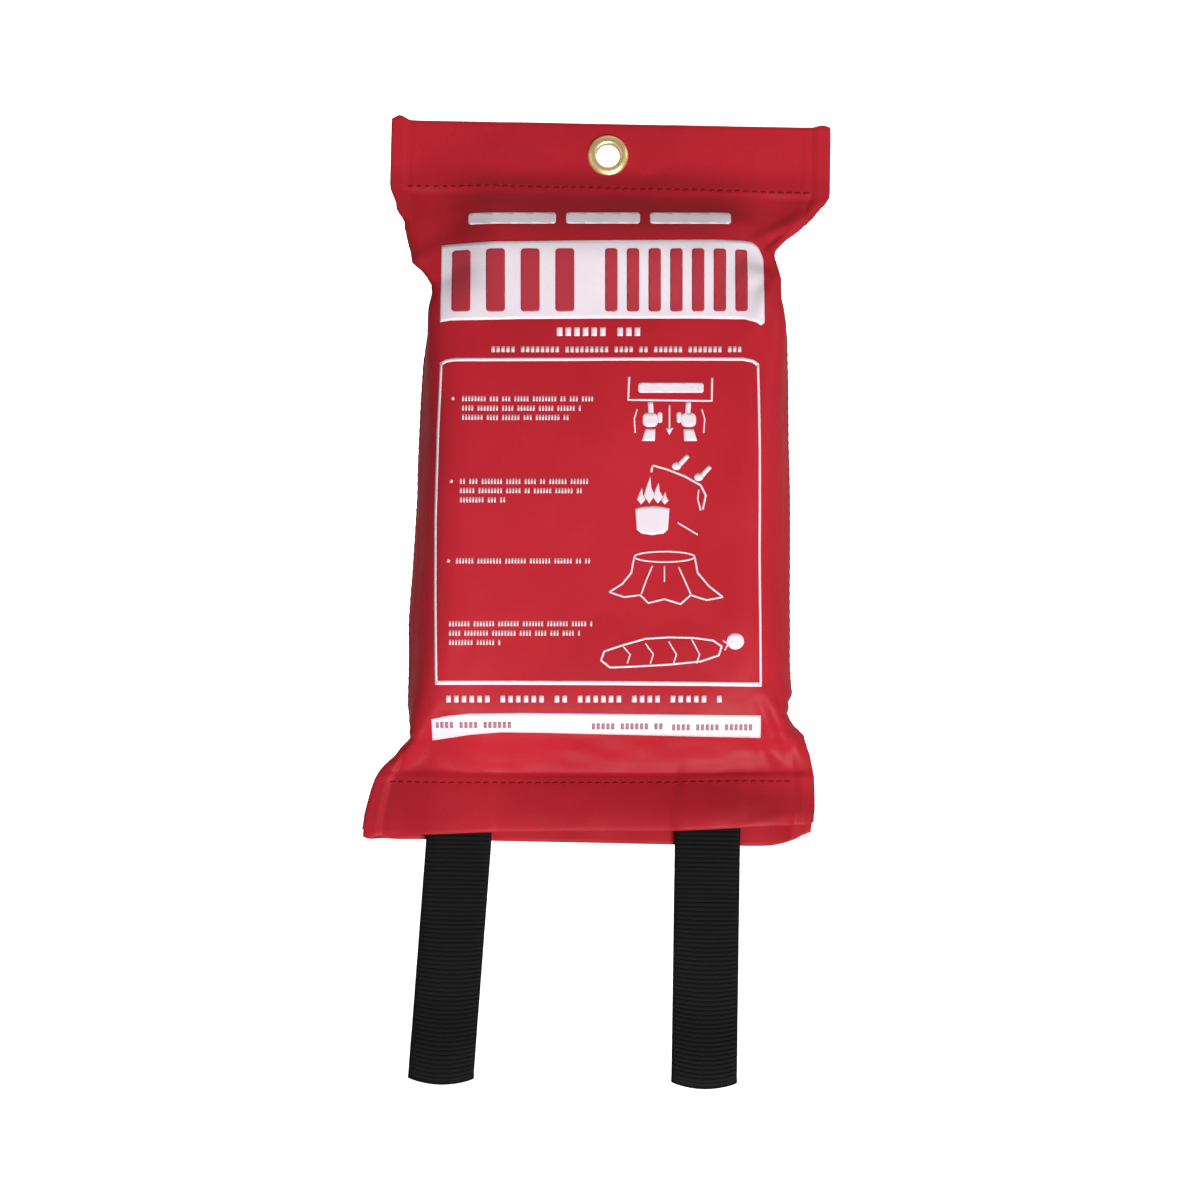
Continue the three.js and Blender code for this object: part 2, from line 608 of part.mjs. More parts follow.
// box stitch with a cross inside, made as one flat frame on the strap's front ply
const BOX = { halfW: 9.5, topZ: -50, bottomZ: -76 };
const boxStitch = (centreX) => {
  const { halfW, topZ, bottomZ } = BOX;
  const [leftX, rightX] = [centreX - halfW, centreX + halfW];
  const midZ = (topZ + bottomZ) / 2;
  const aspect = 2 * halfW / (topZ - bottomZ);
  // how far the openings keep clear of the cross
  const armHalf = THREAD_W * 0.75;
  const clearX = armHalf * aspect + armHalf * 0.2;
  const clearZ = armHalf / aspect + armHalf * 0.2;
  // inner edges of the frame
  const [inLeft, inRight] = [leftX + THREAD_W, rightX - THREAD_W];
  const [inTop, inBottom] = [topZ - THREAD_W, bottomZ + THREAD_W];
  // the four triangles left open between the frame and the cross
  const openings = [
    [[inLeft + clearX, inTop], [inRight - clearX, inTop], [centreX, midZ + clearZ]],
    [[inLeft + clearX, inBottom], [centreX, midZ - clearZ], [inRight - clearX, inBottom]],
    [[inLeft, inTop - clearZ], [centreX - clearX, midZ], [inLeft, inBottom + clearZ]],
    [[inRight, inTop - clearZ], [inRight, inBottom + clearZ], [centreX + clearX, midZ]],
  ];
  const shape = new THREE.Shape(vec2List(
    [[leftX, bottomZ], [rightX, bottomZ], [rightX, topZ], [leftX, topZ]]));
  shape.holes.push(...openings.map((points) => new THREE.Path(vec2List(points))));
  const geometry = new THREE.ExtrudeGeometry(shape, {
    depth: STRAP_THREAD_H,
    bevelEnabled: false,
  });
  geometry.rotateX(Math.PI / 2);  // the shape's plane becomes XZ, its thickness runs along -Y
  geometry.translate(0, STRAP_STITCH_Y, 0);
  return weld(geometry);
};

// zigzag bar tack across the strap's front ply
const TACK = { z: -88, halfL: 10.5, step: 3.5, swing: 0.5, points: 7 };
const barTack = (centreX) => {
  const points = Array.from({ length: TACK.points }, (_, i) => vec(
    centreX - TACK.halfL + TACK.step * i,
    STRAP_STITCH_Y,
    TACK.z + (i % 2 ? TACK.swing : -TACK.swing),
  ));
  return thread(points, FRONT.dir, { width: 1.6, height: STRAP_THREAD_H });
};

for (const [side, centreX] of [['left', -STRAP_X], ['right', STRAP_X]]) {
  add(`${side}_strap_sewn_end`, sewnEnd(centreX), 'webbing_black');
  add(`${side}_strap_box_stitch`, boxStitch(centreX), 'thread_black');
  add(`${side}_strap_bar_tack`, barTack(centreX), 'thread_black');
  add(`${side}_strap_hanging_loop`, hangingLoop(centreX), 'webbing_black');
}

export default group;
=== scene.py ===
"""A hanging pouch of red coated fabric round a folded glass-fibre blanket, with two pull straps.

The pouch hangs flat: X runs across it (left is -X), Y through it with its printed front at -Y
and its back against a wall at Y = 0, and Z up. Lengths here are in millimetres; MM turns them
into metres. The brass eyelet is in the header at the top and the mouth is at the bottom, where
the looped straps hang out.
"""
import json
import math
import bmesh
import bpy
import numpy as np
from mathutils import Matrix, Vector
from mathutils.bvhtree import BVHTree


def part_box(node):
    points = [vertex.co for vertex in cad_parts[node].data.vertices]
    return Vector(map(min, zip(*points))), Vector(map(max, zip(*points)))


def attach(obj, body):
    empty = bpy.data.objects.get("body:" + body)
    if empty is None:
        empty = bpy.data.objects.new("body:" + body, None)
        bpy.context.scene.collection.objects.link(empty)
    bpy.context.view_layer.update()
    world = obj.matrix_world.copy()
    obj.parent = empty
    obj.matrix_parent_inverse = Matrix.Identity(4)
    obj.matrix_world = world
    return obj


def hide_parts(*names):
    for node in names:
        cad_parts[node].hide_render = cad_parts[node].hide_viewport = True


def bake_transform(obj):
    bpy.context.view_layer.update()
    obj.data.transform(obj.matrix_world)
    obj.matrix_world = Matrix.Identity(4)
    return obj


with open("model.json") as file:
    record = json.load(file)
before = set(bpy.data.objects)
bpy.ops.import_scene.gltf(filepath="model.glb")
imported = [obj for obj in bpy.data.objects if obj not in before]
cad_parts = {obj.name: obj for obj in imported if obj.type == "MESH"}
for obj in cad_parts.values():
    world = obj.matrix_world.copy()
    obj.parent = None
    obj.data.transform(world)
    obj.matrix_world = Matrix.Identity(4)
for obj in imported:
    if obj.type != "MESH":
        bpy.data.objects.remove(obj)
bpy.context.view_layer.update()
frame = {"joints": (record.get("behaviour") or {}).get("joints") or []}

MM = 0.001


def box_mm(node):
    """Low and high corners of a CAD piece, in millimetres."""
    return [np.array(corner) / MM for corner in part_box(node)]


# ---------------------------------------------------------------- sizes
seam_low, seam_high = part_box("left_side_seam")
SEAM_Y = (seam_low[1] + seam_high[1]) / 2 / MM    # the plane where front and back are sewn
HEADER_HEIGHT = 26.0
TOP_Z = box_mm("back_panel")[1][2]
HEADER_Z = TOP_Z - HEADER_HEIGHT
front_lip_low, front_lip_high = box_mm("front_mouth_lip")
CREASE_Z = front_lip_high[2] + 0.2
FRONT_EDGE = front_lip_low[2]
BACK_EDGE = box_mm("back_mouth_lip")[0][2]

bundle_low, bundle_high = box_mm("folded_blanket")
BLOCK_X, BLOCK_Y, BLOCK_Z = 0.4, (bundle_low[1] + bundle_high[1]) / 2, -0.5
BLOCK_DEPTH = (bundle_high[1] - bundle_low[1]) / 2
BLOCK_TOP, BLOCK_BOTTOM = bundle_high[2], bundle_low[2]
BLOCK_SHEAR = 0.075                   # the bundle has slumped, its right side sits higher
BUNDLE_HALF = (63.5, 16.6, 88.0)      # half sizes of the rounded block the cloth rests on
BUNDLE_RADIUS = 9.5

joints = {joint["name"]: joint for joint in frame["joints"]}
STRAP_PIVOT = np.array(joints["left_strap_swing"]["pos_m"]) / MM
eye_low, eye_high = box_mm("eyelet")
EYE = (eye_low + eye_high) / 2

# the print's own frame: x across, z up, rolled on the pouch about the pouch's origin
ROLL = math.radians(1.06)
PRINT_X = -0.646

# pull straps: middle X inside, at the mouth and at the end; Z of the end
STRAPS = {"left": (-48.0, -52.4, -57.6, -224.6), "right": (47.0, 43.0, 43.4, -224.4)}

# side seams as they hang: height Z, seam X
SEAM_LEFT = [
    (142, -82.2), (134, -82.2), (122, -81.6), (116, -81.2), (112, -80.5), (108, -79.8),
    (104, -77.2), (100, -76.2), (96, -75.1), (92, -74.0), (88, -73.3), (84, -69.2), (80, -66.6),
    (76, -66.2), (72, -66.6), (60, -67.1), (50, -68.5), (30, -69.6), (0, -69.9), (-30, -71.2),
    (-50, -72.3), (-74, -72.2), (-82, -72.1), (-86, -71.3), (-90, -70.4), (-94, -70.4),
    (-98, -74.1), (-102, -77.0), (-106, -81.5), (-110, -84.1), (-114, -85.6), (-118, -86.6),
    (-122, -87.6), (-126, -88.4), (-132, -88.6)]
SEAM_RIGHT = [
    (142, 84.3), (134, 84.5), (122, 84.5), (116, 83.9), (112, 81.7), (108, 79.4), (104, 75.7),
    (100, 70.4), (96, 66.4), (92, 65.4), (88, 65.9), (84, 66.6), (76, 66.9), (72, 68.0),
    (60, 69.3), (40, 70.1), (20, 70.8), (0, 71.6), (-30, 72.1), (-60, 72.7), (-74, 73.7),
    (-78, 72.0), (-82, 71.7), (-86, 74.3), (-90, 78.2), (-94, 79.5), (-98, 80.9), (-106, 82.6),
    (-114, 82.8), (-118, 82.9), (-122, 82.6), (-126, 82.2), (-132, 81)]


def along(table, z):
    """The X of a side seam at height z."""
    stations = np.array(table[::-1], float)
    return np.interp(z, stations[:, 0], stations[:, 1])


def ease(start, end, x):
    """A smooth step from 0 at start to 1 at end."""
    step = np.clip((np.asarray(x, float) - start) / (end - start), 0, 1)
    return step * step * (3 - 2 * step)


def strap_x(z, side):
    """Middle of a pull strap at height z."""
    inside, mouth, end, end_z = STRAPS[side]
    upper = inside + (mouth - inside) * ease(-88, -128, z)
    return upper + (end - mouth) * np.clip((-134 - z) / (-134 - end_z), 0, 1)


# ---------------------------------------------------------------- cloth grid
# Grids run columns by rows: left to right, then down from the top of the header.
ROW_STEP = 2.4
SLACK = 9.0
COLUMNS = 71
HEADER_ROWS, LIP_ROWS, EXTRA_ROWS = 11, 9, 3      # the back sheet hangs lower by the extra rows
BODY_CLOTH = HEADER_Z - CREASE_Z + SLACK
BODY_ROWS = int(round(BODY_CLOTH / ROW_STEP))
CREASE_ROW = HEADER_ROWS + BODY_ROWS
ROW_GAPS = np.concatenate([
    np.full(HEADER_ROWS, HEADER_HEIGHT / HEADER_ROWS),
    np.full(BODY_ROWS, BODY_CLOTH / BODY_ROWS),
    np.full(LIP_ROWS, (CREASE_Z - FRONT_EDGE) / LIP_ROWS),
    np.full(EXTRA_ROWS, (FRONT_EDGE - BACK_EDGE) / EXTRA_ROWS)])
ROW_DOWN = np.concatenate([[0], np.cumsum(ROW_GAPS)])     # cloth length below the top edge
CREASE_DOWN = ROW_DOWN[CREASE_ROW]
Z_FLAT = np.where(
    ROW_DOWN <= HEADER_HEIGHT, TOP_Z - ROW_DOWN,
    np.where(
        ROW_DOWN <= CREASE_DOWN,
        HEADER_Z - (ROW_DOWN - HEADER_HEIGHT) * (HEADER_Z - CREASE_Z)
        / (CREASE_DOWN - HEADER_HEIGHT),
        CREASE_Z - (ROW_DOWN - CREASE_DOWN)))
BACK_ROWS = len(ROW_DOWN)
FRONT_ROWS = BACK_ROWS - EXTRA_ROWS
WIDTH = 167.0 + 3.0 * np.clip((TOP_Z - Z_FLAT) / 268, 0, 1)
X_FLAT = np.linspace(-0.5, 0.5, COLUMNS)[:, None] * WIDTH[None, :]
HALF_CLOTH = 84.0         # cloth distance from the middle to a side seam
EDGE_GAP = 0.45           # each sheet's distance from the seam plane along the side seams


def value_noise(rng, shape, cells):
    """Smooth random heights on a grid, from a coarser grid of random knots."""
    knots = rng.normal(size=(cells[0] + 1, cells[1] + 1))
    i_at = np.linspace(0, cells[0], shape[0])
    j_at = np.linspace(0, cells[1], shape[1])
    i = np.clip(i_at.astype(int), 0, cells[0] - 1)
    j = np.clip(j_at.astype(int), 0, cells[1] - 1)
    i_part, j_part = i_at - i, j_at - j
    i_part = (i_part * i_part * (3 - 2 * i_part))[:, None]
    j_part = (j_part * j_part * (3 - 2 * j_part))[None, :]
    near = knots[i][:, j] * (1 - i_part) + knots[i + 1][:, j] * i_part
    far = knots[i][:, j + 1] * (1 - i_part) + knots[i + 1][:, j + 1] * i_part
    return near * (1 - j_part) + far * j_part


# ---------------------------------------------------------------- cloth solver
def pair_slices(count, offset, reach):
    """Slices of the points and partners `reach` apart, no point being in two pairs."""
    last = np.arange(offset, count - reach, 2 * reach)[-1]
    return (slice(offset, last + 1, 2 * reach),
            slice(offset + reach, last + reach + 1, 2 * reach))


def cloth_ties(rows):
    """The ties of one sheet: first points, second points, rest length, strength, push only."""
    every = slice(None)
    across, down = WIDTH[:rows] / (COLUMNS - 1), ROW_GAPS[:rows - 1]
    ties = []
    for offset in (0, 1):
        first, second = pair_slices(COLUMNS, offset, 1)
        ties.append(((first, every), (second, every), across[None, :], 1.0, False))
    for offset in (0, 1):
        first, second = pair_slices(rows, offset, 1)
        ties.append(((every, first), (every, second), down[None, first], 1.0, False))
    slant = np.sqrt(((across[:-1] + across[1:]) / 2) ** 2 + down ** 2)[None, :]
    upper, lower = slice(0, rows - 1), slice(1, rows)
    for offset in (0, 1):
        first, second = pair_slices(COLUMNS, offset, 1)
        ties.append(((first, upper), (second, lower), slant, 0.35, False))
        ties.append(((first, lower), (second, upper), slant, 0.35, False))
    # stiffness against bending
    for offset in range(4):
        first, second = pair_slices(COLUMNS, offset, 2)
        ties.append(((first, every), (second, every), 2 * across[None, :], 0.22, True))
        first, second = pair_slices(rows, offset, 2)
        two_rows = (down[:-1] + down[1:])[None, first]
        ties.append(((every, first), (every, second), two_rows, 0.22, True))
    return ties


def pull_tie(sheet, first, second, rest, strength, push_only):
    """Moves tied points towards their rest distance."""
    gap = sheet[second] - sheet[first]
    length = np.sqrt(np.einsum("...k,...k->...", gap, gap)) + 1e-12
    excess = (length - rest) / length
    if push_only:
        excess = np.minimum(excess, 0)
    gap *= (0.5 * strength * excess)[..., None]
    sheet[first] += gap
    sheet[second] -= gap


def push_off_bundle(sheet, side, grown):
    """Moves points out of the rounded, sheared block; grown is how thick it has become."""
    depth = max(0.5, BUNDLE_HALF[1] * grown)
    x, y = sheet[..., 0] - BLOCK_X, sheet[..., 1] - BLOCK_Y
    z = sheet[..., 2] - BLOCK_Z - BLOCK_SHEAR * x
    bulge = 0.055 if side < 0 else 0.0
    crown = 1.0 + bulge * np.clip(1 - (x / 62) ** 2, 0, 1) * np.clip(1 - (z / 91) ** 2, 0, 1)
    radius = min(BUNDLE_RADIUS, depth)
    reach = np.stack([
        np.abs(x) / (1.0 - z / BUNDLE_HALF[2] * 0.04) - (BUNDLE_HALF[0] - radius),
        np.abs(y) - (depth * crown - radius),
        np.abs(z) - (BUNDLE_HALF[2] - radius)], -1)
    outside = np.maximum(reach, 0)
    length = np.linalg.norm(outside, axis=-1)
    core = length < 1e-9
    distance = np.where(core, reach[..., 1] - radius, length - radius) - 0.35
    away = np.where(core[..., None], np.array([0, 1.0, 0]),
                    outside / np.maximum(length, 1e-9)[..., None])
    signs = np.stack([np.sign(x), np.full_like(y, side), np.sign(z)], -1)
    move = -distance[..., None] * away * signs
    move[distance >= 0] = 0
    sheet += move


def drape(iterations):
    """Front and back sheets, sewn at header and sides, laid round the bundle until they rest."""
    damping, weight = 0.92, 0.0012
    rng = np.random.default_rng(4)
    sheets = []
    for side, rows in ((-1, FRONT_ROWS), (1, BACK_ROWS)):
        sheet = np.zeros((COLUMNS, rows, 3))
        sheet[..., 0] = X_FLAT[:, :rows]
        sheet[..., 2] = Z_FLAT[None, :rows]
        unevenness = np.abs(value_noise(rng, (COLUMNS, rows), (8, 11)))
        sheet[..., 1] = SEAM_Y + side * (1.2 + 0.35 * unevenness)
        sheets.append(sheet)
    before = [sheet.copy() for sheet in sheets]
    ties = [cloth_ties(FRONT_ROWS), cloth_ties(BACK_ROWS)]
    # outwards along the bundle, inwards above and below it
    push_out = 0.0025 * (ease(-90, -76, Z_FLAT) * (1 - ease(74, 90, Z_FLAT))) \
        - 0.006 * ease(90, 100, Z_FLAT) - 0.01 * (1 - ease(-102, -92, Z_FLAT))
    header_gap = np.full((COLUMNS, 1), 1.0)
    header_gap[[0, -1]] = EDGE_GAP

    for it in range(iterations):
        grown = min(1.0, it / (iterations * 0.45))
        for k, (sheet, side) in enumerate(zip(sheets, (-1, 1))):
            rows = sheet.shape[1]
            speed = (sheet - before[k]) * damping
            before[k][...] = sheet
            sheet += speed
            sheet[:, HEADER_ROWS + 5:, 2] -= weight
            sheet[..., 1] += side * push_out[None, :rows] \
                * (0.1 + 0.9 * ease(50, 60, np.abs(sheet[..., 0])))
            for tie in ties[k]:
                pull_tie(sheet, *tie)
            push_off_bundle(sheet, side, grown)
            y = sheet[..., 1]
            if side > 0:
                y[...] = np.minimum(y, -0.4)          # the back lies against a wall
            from_middle, z_flat = np.abs(sheet[..., 0]), Z_FLAT[:rows][None, :]
            gap = 0.5 + 2.1 * (1 - ease(64, 77, from_middle)) * (1 - ease(-96, -86, z_flat))
            gap = np.where(z_flat > HEADER_Z - 0.5, 1.0, gap)
            gap[[0, -1]] = EDGE_GAP
            y[...] = np.where(side < 0, np.minimum(y, SEAM_Y - gap), np.maximum(y, SEAM_Y + gap))
            y[...] = np.where(z_flat > HEADER_Z - 1, SEAM_Y + side * header_gap, y)
            # the lips hang nearly shut, held by the tapes in the middle
            y += (SEAM_Y + side * (gap + 0.25 * ease(28, 60, from_middle)) - y) * 0.35 \
                * (1 - ease(-108, -102, z_flat))
            sheet[:, :HEADER_ROWS + 1, 2] = Z_FLAT[None, :HEADER_ROWS + 1]
            sheet[:, :HEADER_ROWS + 1, 0] = X_FLAT[:, :HEADER_ROWS + 1] + 1.0
        pull = 0.25 * min(1, it / (0.3 * iterations))
        for edge, table in ((0, SEAM_LEFT), (-1, SEAM_RIGHT)):
            for sheet in sheets:
                line = sheet[edge, HEADER_ROWS:]
                line[:, 0] += (along(table, line[:, 2]) - line[:, 0]) * pull
            middle = (sheets[0][edge, :FRONT_ROWS] + sheets[1][edge, :FRONT_ROWS]) / 2
            for sheet, offset in zip(sheets, (-EDGE_GAP, EDGE_GAP)):
                sheet[edge, :FRONT_ROWS] = middle
                sheet[edge, :FRONT_ROWS, 1] += offset
                sheet[edge, :, 1] += (SEAM_Y + offset - sheet[edge, :, 1]) * 0.15
    return sheets


# ---------------------------------------------------------------- grid tools
def relax(grid, times, keep_rows=()):
    """Takes out folds finer than the cloth could hold."""
    for _ in range(times):
        across = grid.copy()
        across[1:-1] += 0.25 * (grid[2:] - 2 * grid[1:-1] + grid[:-2])
        soft = across.copy()
        soft[:, 1:-1] += 0.25 * (across[:, 2:] - 2 * across[:, 1:-1] + across[:, :-2])
        soft[0], soft[-1] = grid[0], grid[-1]
        for j in (0, -1, *keep_rows):
            soft[:, j] = grid[:, j]
        grid = soft
    return grid


def refine(grid, factor=2):
    """Cubic resampling of a grid, `factor` points for each step."""
    def one_way(knots):
        count = len(knots)
        padded = np.concatenate(
            [2 * knots[:1] - knots[1:2], knots, 2 * knots[-1:] - knots[-2:-1]])
        at = np.arange((count - 1) * factor + 1) / factor
        i = np.minimum(at.astype(int), count - 2)
        part = (at - i).reshape((-1,) + (1,) * (knots.ndim - 1))
        k0, k1, k2, k3 = padded[i], padded[i + 1], padded[i + 2], padded[i + 3]
        return 0.5 * (2 * k1 + (k2 - k0) * part + (2 * k0 - 5 * k1 + 4 * k2 - k3) * part ** 2
                      + (3 * k1 - k0 - 3 * k2 + k3) * part ** 3)
    return np.swapaxes(one_way(np.swapaxes(one_way(grid), 0, 1)), 0, 1)


def grid_normals(grid):
    normal = np.cross(np.gradient(grid, axis=0), np.gradient(grid, axis=1))
    return normal / (np.linalg.norm(normal, axis=-1, keepdims=True) + 1e-12)


def side_normals(grid, side):
    """Normals of a cover, pointing out of the pouch on its own side."""
    normal = grid_normals(grid)
    facing = np.median(normal[grid.shape[0] // 2, :, 1])
    return normal if facing * side > 0 else -normal


def spread(*arrays):
    """Arrays broadcast together and stacked, as the UVs of a grid."""
    return np.stack(np.broadcast_arrays(*arrays), -1).astype(float)


# ---------------------------------------------------------------- mesh tools
def mesh_object(name, verts, faces, smooth=True, uv=None):
    """An object from vertices in millimetres; uv is one pair per vertex."""
    mesh = bpy.data.meshes.new(name)
    mesh.from_pydata([tuple(c * MM for c in vert) for vert in np.asarray(verts, float)], [],
                     [tuple(int(i) for i in face) for face in faces])
    mesh.validate()
    mesh.update()
    if smooth:
        mesh.polygons.foreach_set("use_smooth", [True] * len(mesh.polygons))
    if uv is not None:
        layer = mesh.uv_layers.new(name="UVMap")
        corner = np.zeros(len(mesh.loops), np.int32)
        mesh.loops.foreach_get("vertex_index", corner)
        layer.data.foreach_set("uv", np.asarray(uv, np.float32)[corner].ravel())
    return link_object(name, mesh)


def link_object(name, data):
    made = bpy.data.objects.new(name, data)
    bpy.context.scene.collection.objects.link(made)
    return made


def face_outward(piece):
    shape = bmesh.new()
    shape.from_mesh(piece.data)
    bmesh.ops.recalc_face_normals(shape, faces=shape.faces)
    shape.to_mesh(piece.data)
    shape.free()


def vertices_mm(piece):
    place = np.zeros(len(piece.data.vertices) * 3)
    piece.data.vertices.foreach_get("co", place)
    return place.reshape(-1, 3) / MM


def sheet_shell(grid, normal, thick, uv=None, arcs=3):
    """Vertices, faces and UVs of a closed sheet, half its thickness each side of the grid.

    Its edges are rounded with `arcs` extra rows of points.
    """
    columns, rows = grid.shape[:2]
    half = (np.asarray(thick) * np.ones((columns, rows)) / 2)[..., None]
    count = columns * rows
    verts = [(grid + normal * half).reshape(-1, 3), (grid - normal * half).reshape(-1, 3)]
    index = np.arange(count).reshape(columns, rows)
    quads = np.stack([index[:-1, :-1], index[1:, :-1], index[1:, 1:], index[:-1, 1:]], -1)
    quads = quads.reshape(-1, 4)
    turn = np.cross(grid[1, 0] - grid[0, 0], grid[0, 1] - grid[0, 0])
    flip = turn @ normal[0, 0] < 0
    top = quads[:, ::-1] if flip else quads
    bottom = (quads if flip else quads[:, ::-1]) + count
    faces = [tuple(quad) for quad in top] + [tuple(quad) for quad in bottom]
    ring = [(i, 0) for i in range(columns)] + [(columns - 1, j) for j in range(1, rows)] \
        + [(i, rows - 1) for i in range(columns - 2, -1, -1)] \
        + [(0, j) for j in range(rows - 2, 0, -1)]
    inward = [(min(max(i, 1), columns - 2), min(max(j, 1), rows - 2)) for i, j in ring]

    def pick(values, places):
        return np.array([values[i, j] for i, j in places])
    edge, edge_normal, edge_half = pick(grid, ring), pick(normal, ring), pick(half, ring)
    away = edge - pick(grid, inward)
    away -= edge_normal * np.einsum("ij,ij->i", away, edge_normal)[:, None]
    away /= np.linalg.norm(away, axis=1, keepdims=True) + 1e-12
    size = len(ring)
    loops = [pick(index, ring)]
    for k in range(1, arcs + 1):
        angle = math.pi * k / (arcs + 1)
        verts.append(edge + edge_normal * edge_half * math.cos(angle)
                     + away * edge_half * math.sin(angle))
        loops.append(2 * count + (k - 1) * size + np.arange(size))
    loops.append(loops[0] + count)
    for upper, lower in zip(loops[:-1], loops[1:]):
        for k in range(size):
            after = (k + 1) % size
            quad = (upper[k], upper[after], lower[after], lower[k])
            faces.append(quad if flip else quad[::-1])
    if uv is not None:
        flat = uv.reshape(-1, 2)
        uv = np.concatenate([flat, flat] + [pick(uv, ring)] * arcs)
    return np.concatenate(verts), faces, uv


def thick_sheet(name, grid, normal, thick, uv=None):
    verts, faces, uv = sheet_shell(grid, normal, thick, uv)
    return mesh_object(name, verts, faces, True, uv)


def tube(points, radius, out, sides=6):
    """Vertices and faces of a closed round cord along points; out points off the fabric."""
    points = np.asarray(points, float)
    course = np.gradient(points, axis=0)
    course /= np.linalg.norm(course, axis=1, keepdims=True) + 1e-12
    up = np.asarray(out, float) * np.ones_like(points)
    up = up - course * np.einsum("ij,ij->i", up, course)[:, None]
    up /= np.linalg.norm(up, axis=1, keepdims=True) + 1e-12
    sideways = np.cross(course, up)
    radius = np.asarray(radius, float) * np.ones(len(points))
    verts, faces = [], []
    for i, point in enumerate(points):
        for k in range(sides):
            angle = 2 * math.pi * k / sides
            verts.append(point + sideways[i] * math.cos(angle) * radius[i]
                         + up[i] * math.sin(angle) * radius[i])
    for i in range(len(points) - 1):
        for k in range(sides):
            a, b = i * sides + k, i * sides + (k + 1) % sides
            faces.append((a, b, b + sides, a + sides))
    faces.append(tuple(range(sides))[::-1])
    faces.append(tuple((len(points) - 1) * sides + k for k in range(sides)))
    return verts, faces


# one stitch: share of its length, height over the fabric, share of its radius
STITCH = np.array([(0.0, -0.32, 0.5), (0.12, 0.02, 0.9), (0.3, 0.14, 1), (0.5, 0.17, 1),
                   (0.7, 0.14, 1), (0.88, 0.02, 0.9), (1.0, -0.32, 0.5)])


def stitches(name, points, out, length=2.5, gap=0.8, radius=0.27):
    """A row of sewn stitches along a line that lies on the fabric."""
    points = np.asarray(points, float)
    normals = np.asarray(out, float) * np.ones_like(points)
    run = np.concatenate([[0], np.cumsum(np.linalg.norm(np.diff(points, axis=0), axis=1))])
    count = max(1, int((run[-1] + gap) // (length + gap)))
    start = (run[-1] - count * (length + gap) + gap) / 2
    verts, faces = [], []
    for k in range(count):
        at = start + k * (length + gap) + STITCH[:, 0] * length
        line = np.stack([np.interp(at, run, points[:, axis]) for axis in range(3)], 1)
        up = np.stack([np.interp(at, run, normals[:, axis]) for axis in range(3)], 1)
        up /= np.linalg.norm(up, axis=1, keepdims=True) + 1e-12
        cord, cord_faces = tube(line + up * STITCH[:, 1:2], radius * STITCH[:, 2], up)
        faces += [tuple(i + len(verts) for i in face) for face in cord_faces]
        verts += cord
    return mesh_object(name, verts, faces)


# ---------------------------------------------------------------- materials
def shade(colour, gain, lift=0.0):
    return tuple(min(1, channel * gain + lift) for channel in colour)


class Shader:
    """A node material being built; inputs take either a value or a socket to link."""

    def __init__(self, name):
        self.material = bpy.data.materials.new(name)
        self.material.use_nodes = True
        self.tree = self.material.node_tree
        self.tree.nodes.clear()

    def add(self, kind, inputs=None, **settings):
        made = self.tree.nodes.new("ShaderNode" + kind)
        for key, value in settings.items():
            setattr(made, key, value)
        for key, value in (inputs or {}).items():
            if isinstance(value, bpy.types.NodeSocket):
                self.tree.links.new(value, made.inputs[key])
            else:
                made.inputs[key].default_value = value
        return made

    def object_space(self):
        return self.add("TexCoord").outputs["Object"]

    def noise(self, vector, scale, detail, roughness=0.5, distortion=0.0):
        return self.add("TexNoise", {
            "Vector": vector, "Scale": scale, "Detail": detail, "Roughness": roughness,
            "Distortion": distortion}).outputs["Fac"]

    def wave(self, vector, scale, distortion, detail=2.0, detail_scale=1.0, **settings):
        return self.add("TexWave", {
            "Vector": vector, "Scale": scale, "Distortion": distortion, "Detail": detail,
            "Detail Scale": detail_scale}, **settings).outputs["Fac"]

    def attribute(self, name):
        return self.add("Attribute", attribute_name=name,
                        attribute_type="GEOMETRY").outputs["Fac"]

    def calc(self, operation, *operands, **settings):
        return self.add("Math", dict(enumerate(operands)), operation=operation,
                        **settings).outputs[0]

    def mix(self, factor, first, second):
        """Blends two colours; constants are given as RGB."""
        colours = [c if isinstance(c, bpy.types.NodeSocket) else (*c, 1) for c in (first, second)]
        return self.add("Mix", {0: factor, 6: colours[0], 7: colours[1]},
                        data_type="RGBA").outputs[2]

    def ramp(self, factor, *stops):
        """A colour ramp; each stop is a position and a colour, or a grey level."""
        made = self.add("ValToRGB", {"Fac": factor})
        elements = made.color_ramp.elements
        while len(elements) < len(stops):
            elements.new(0.5)
        for element, (position, colour) in zip(elements, stops):
            if not isinstance(colour, tuple):
                colour = (colour,) * 3
            element.position, element.color = position, (*colour, 1.0)
        return made.outputs["Color"]

    def bump(self, height, strength, distance, under=None):
        inputs = {"Height": height, "Strength": strength, "Distance": distance}
        if under is not None:
            inputs["Normal"] = under
        return self.add("Bump", inputs).outputs["Normal"]

    def finish(self, surface):
        self.add("OutputMaterial", {"Surface": surface})
        return self.material

    def principled(self, inputs):
        return self.finish(self.add("BsdfPrincipled", inputs).outputs["BSDF"])


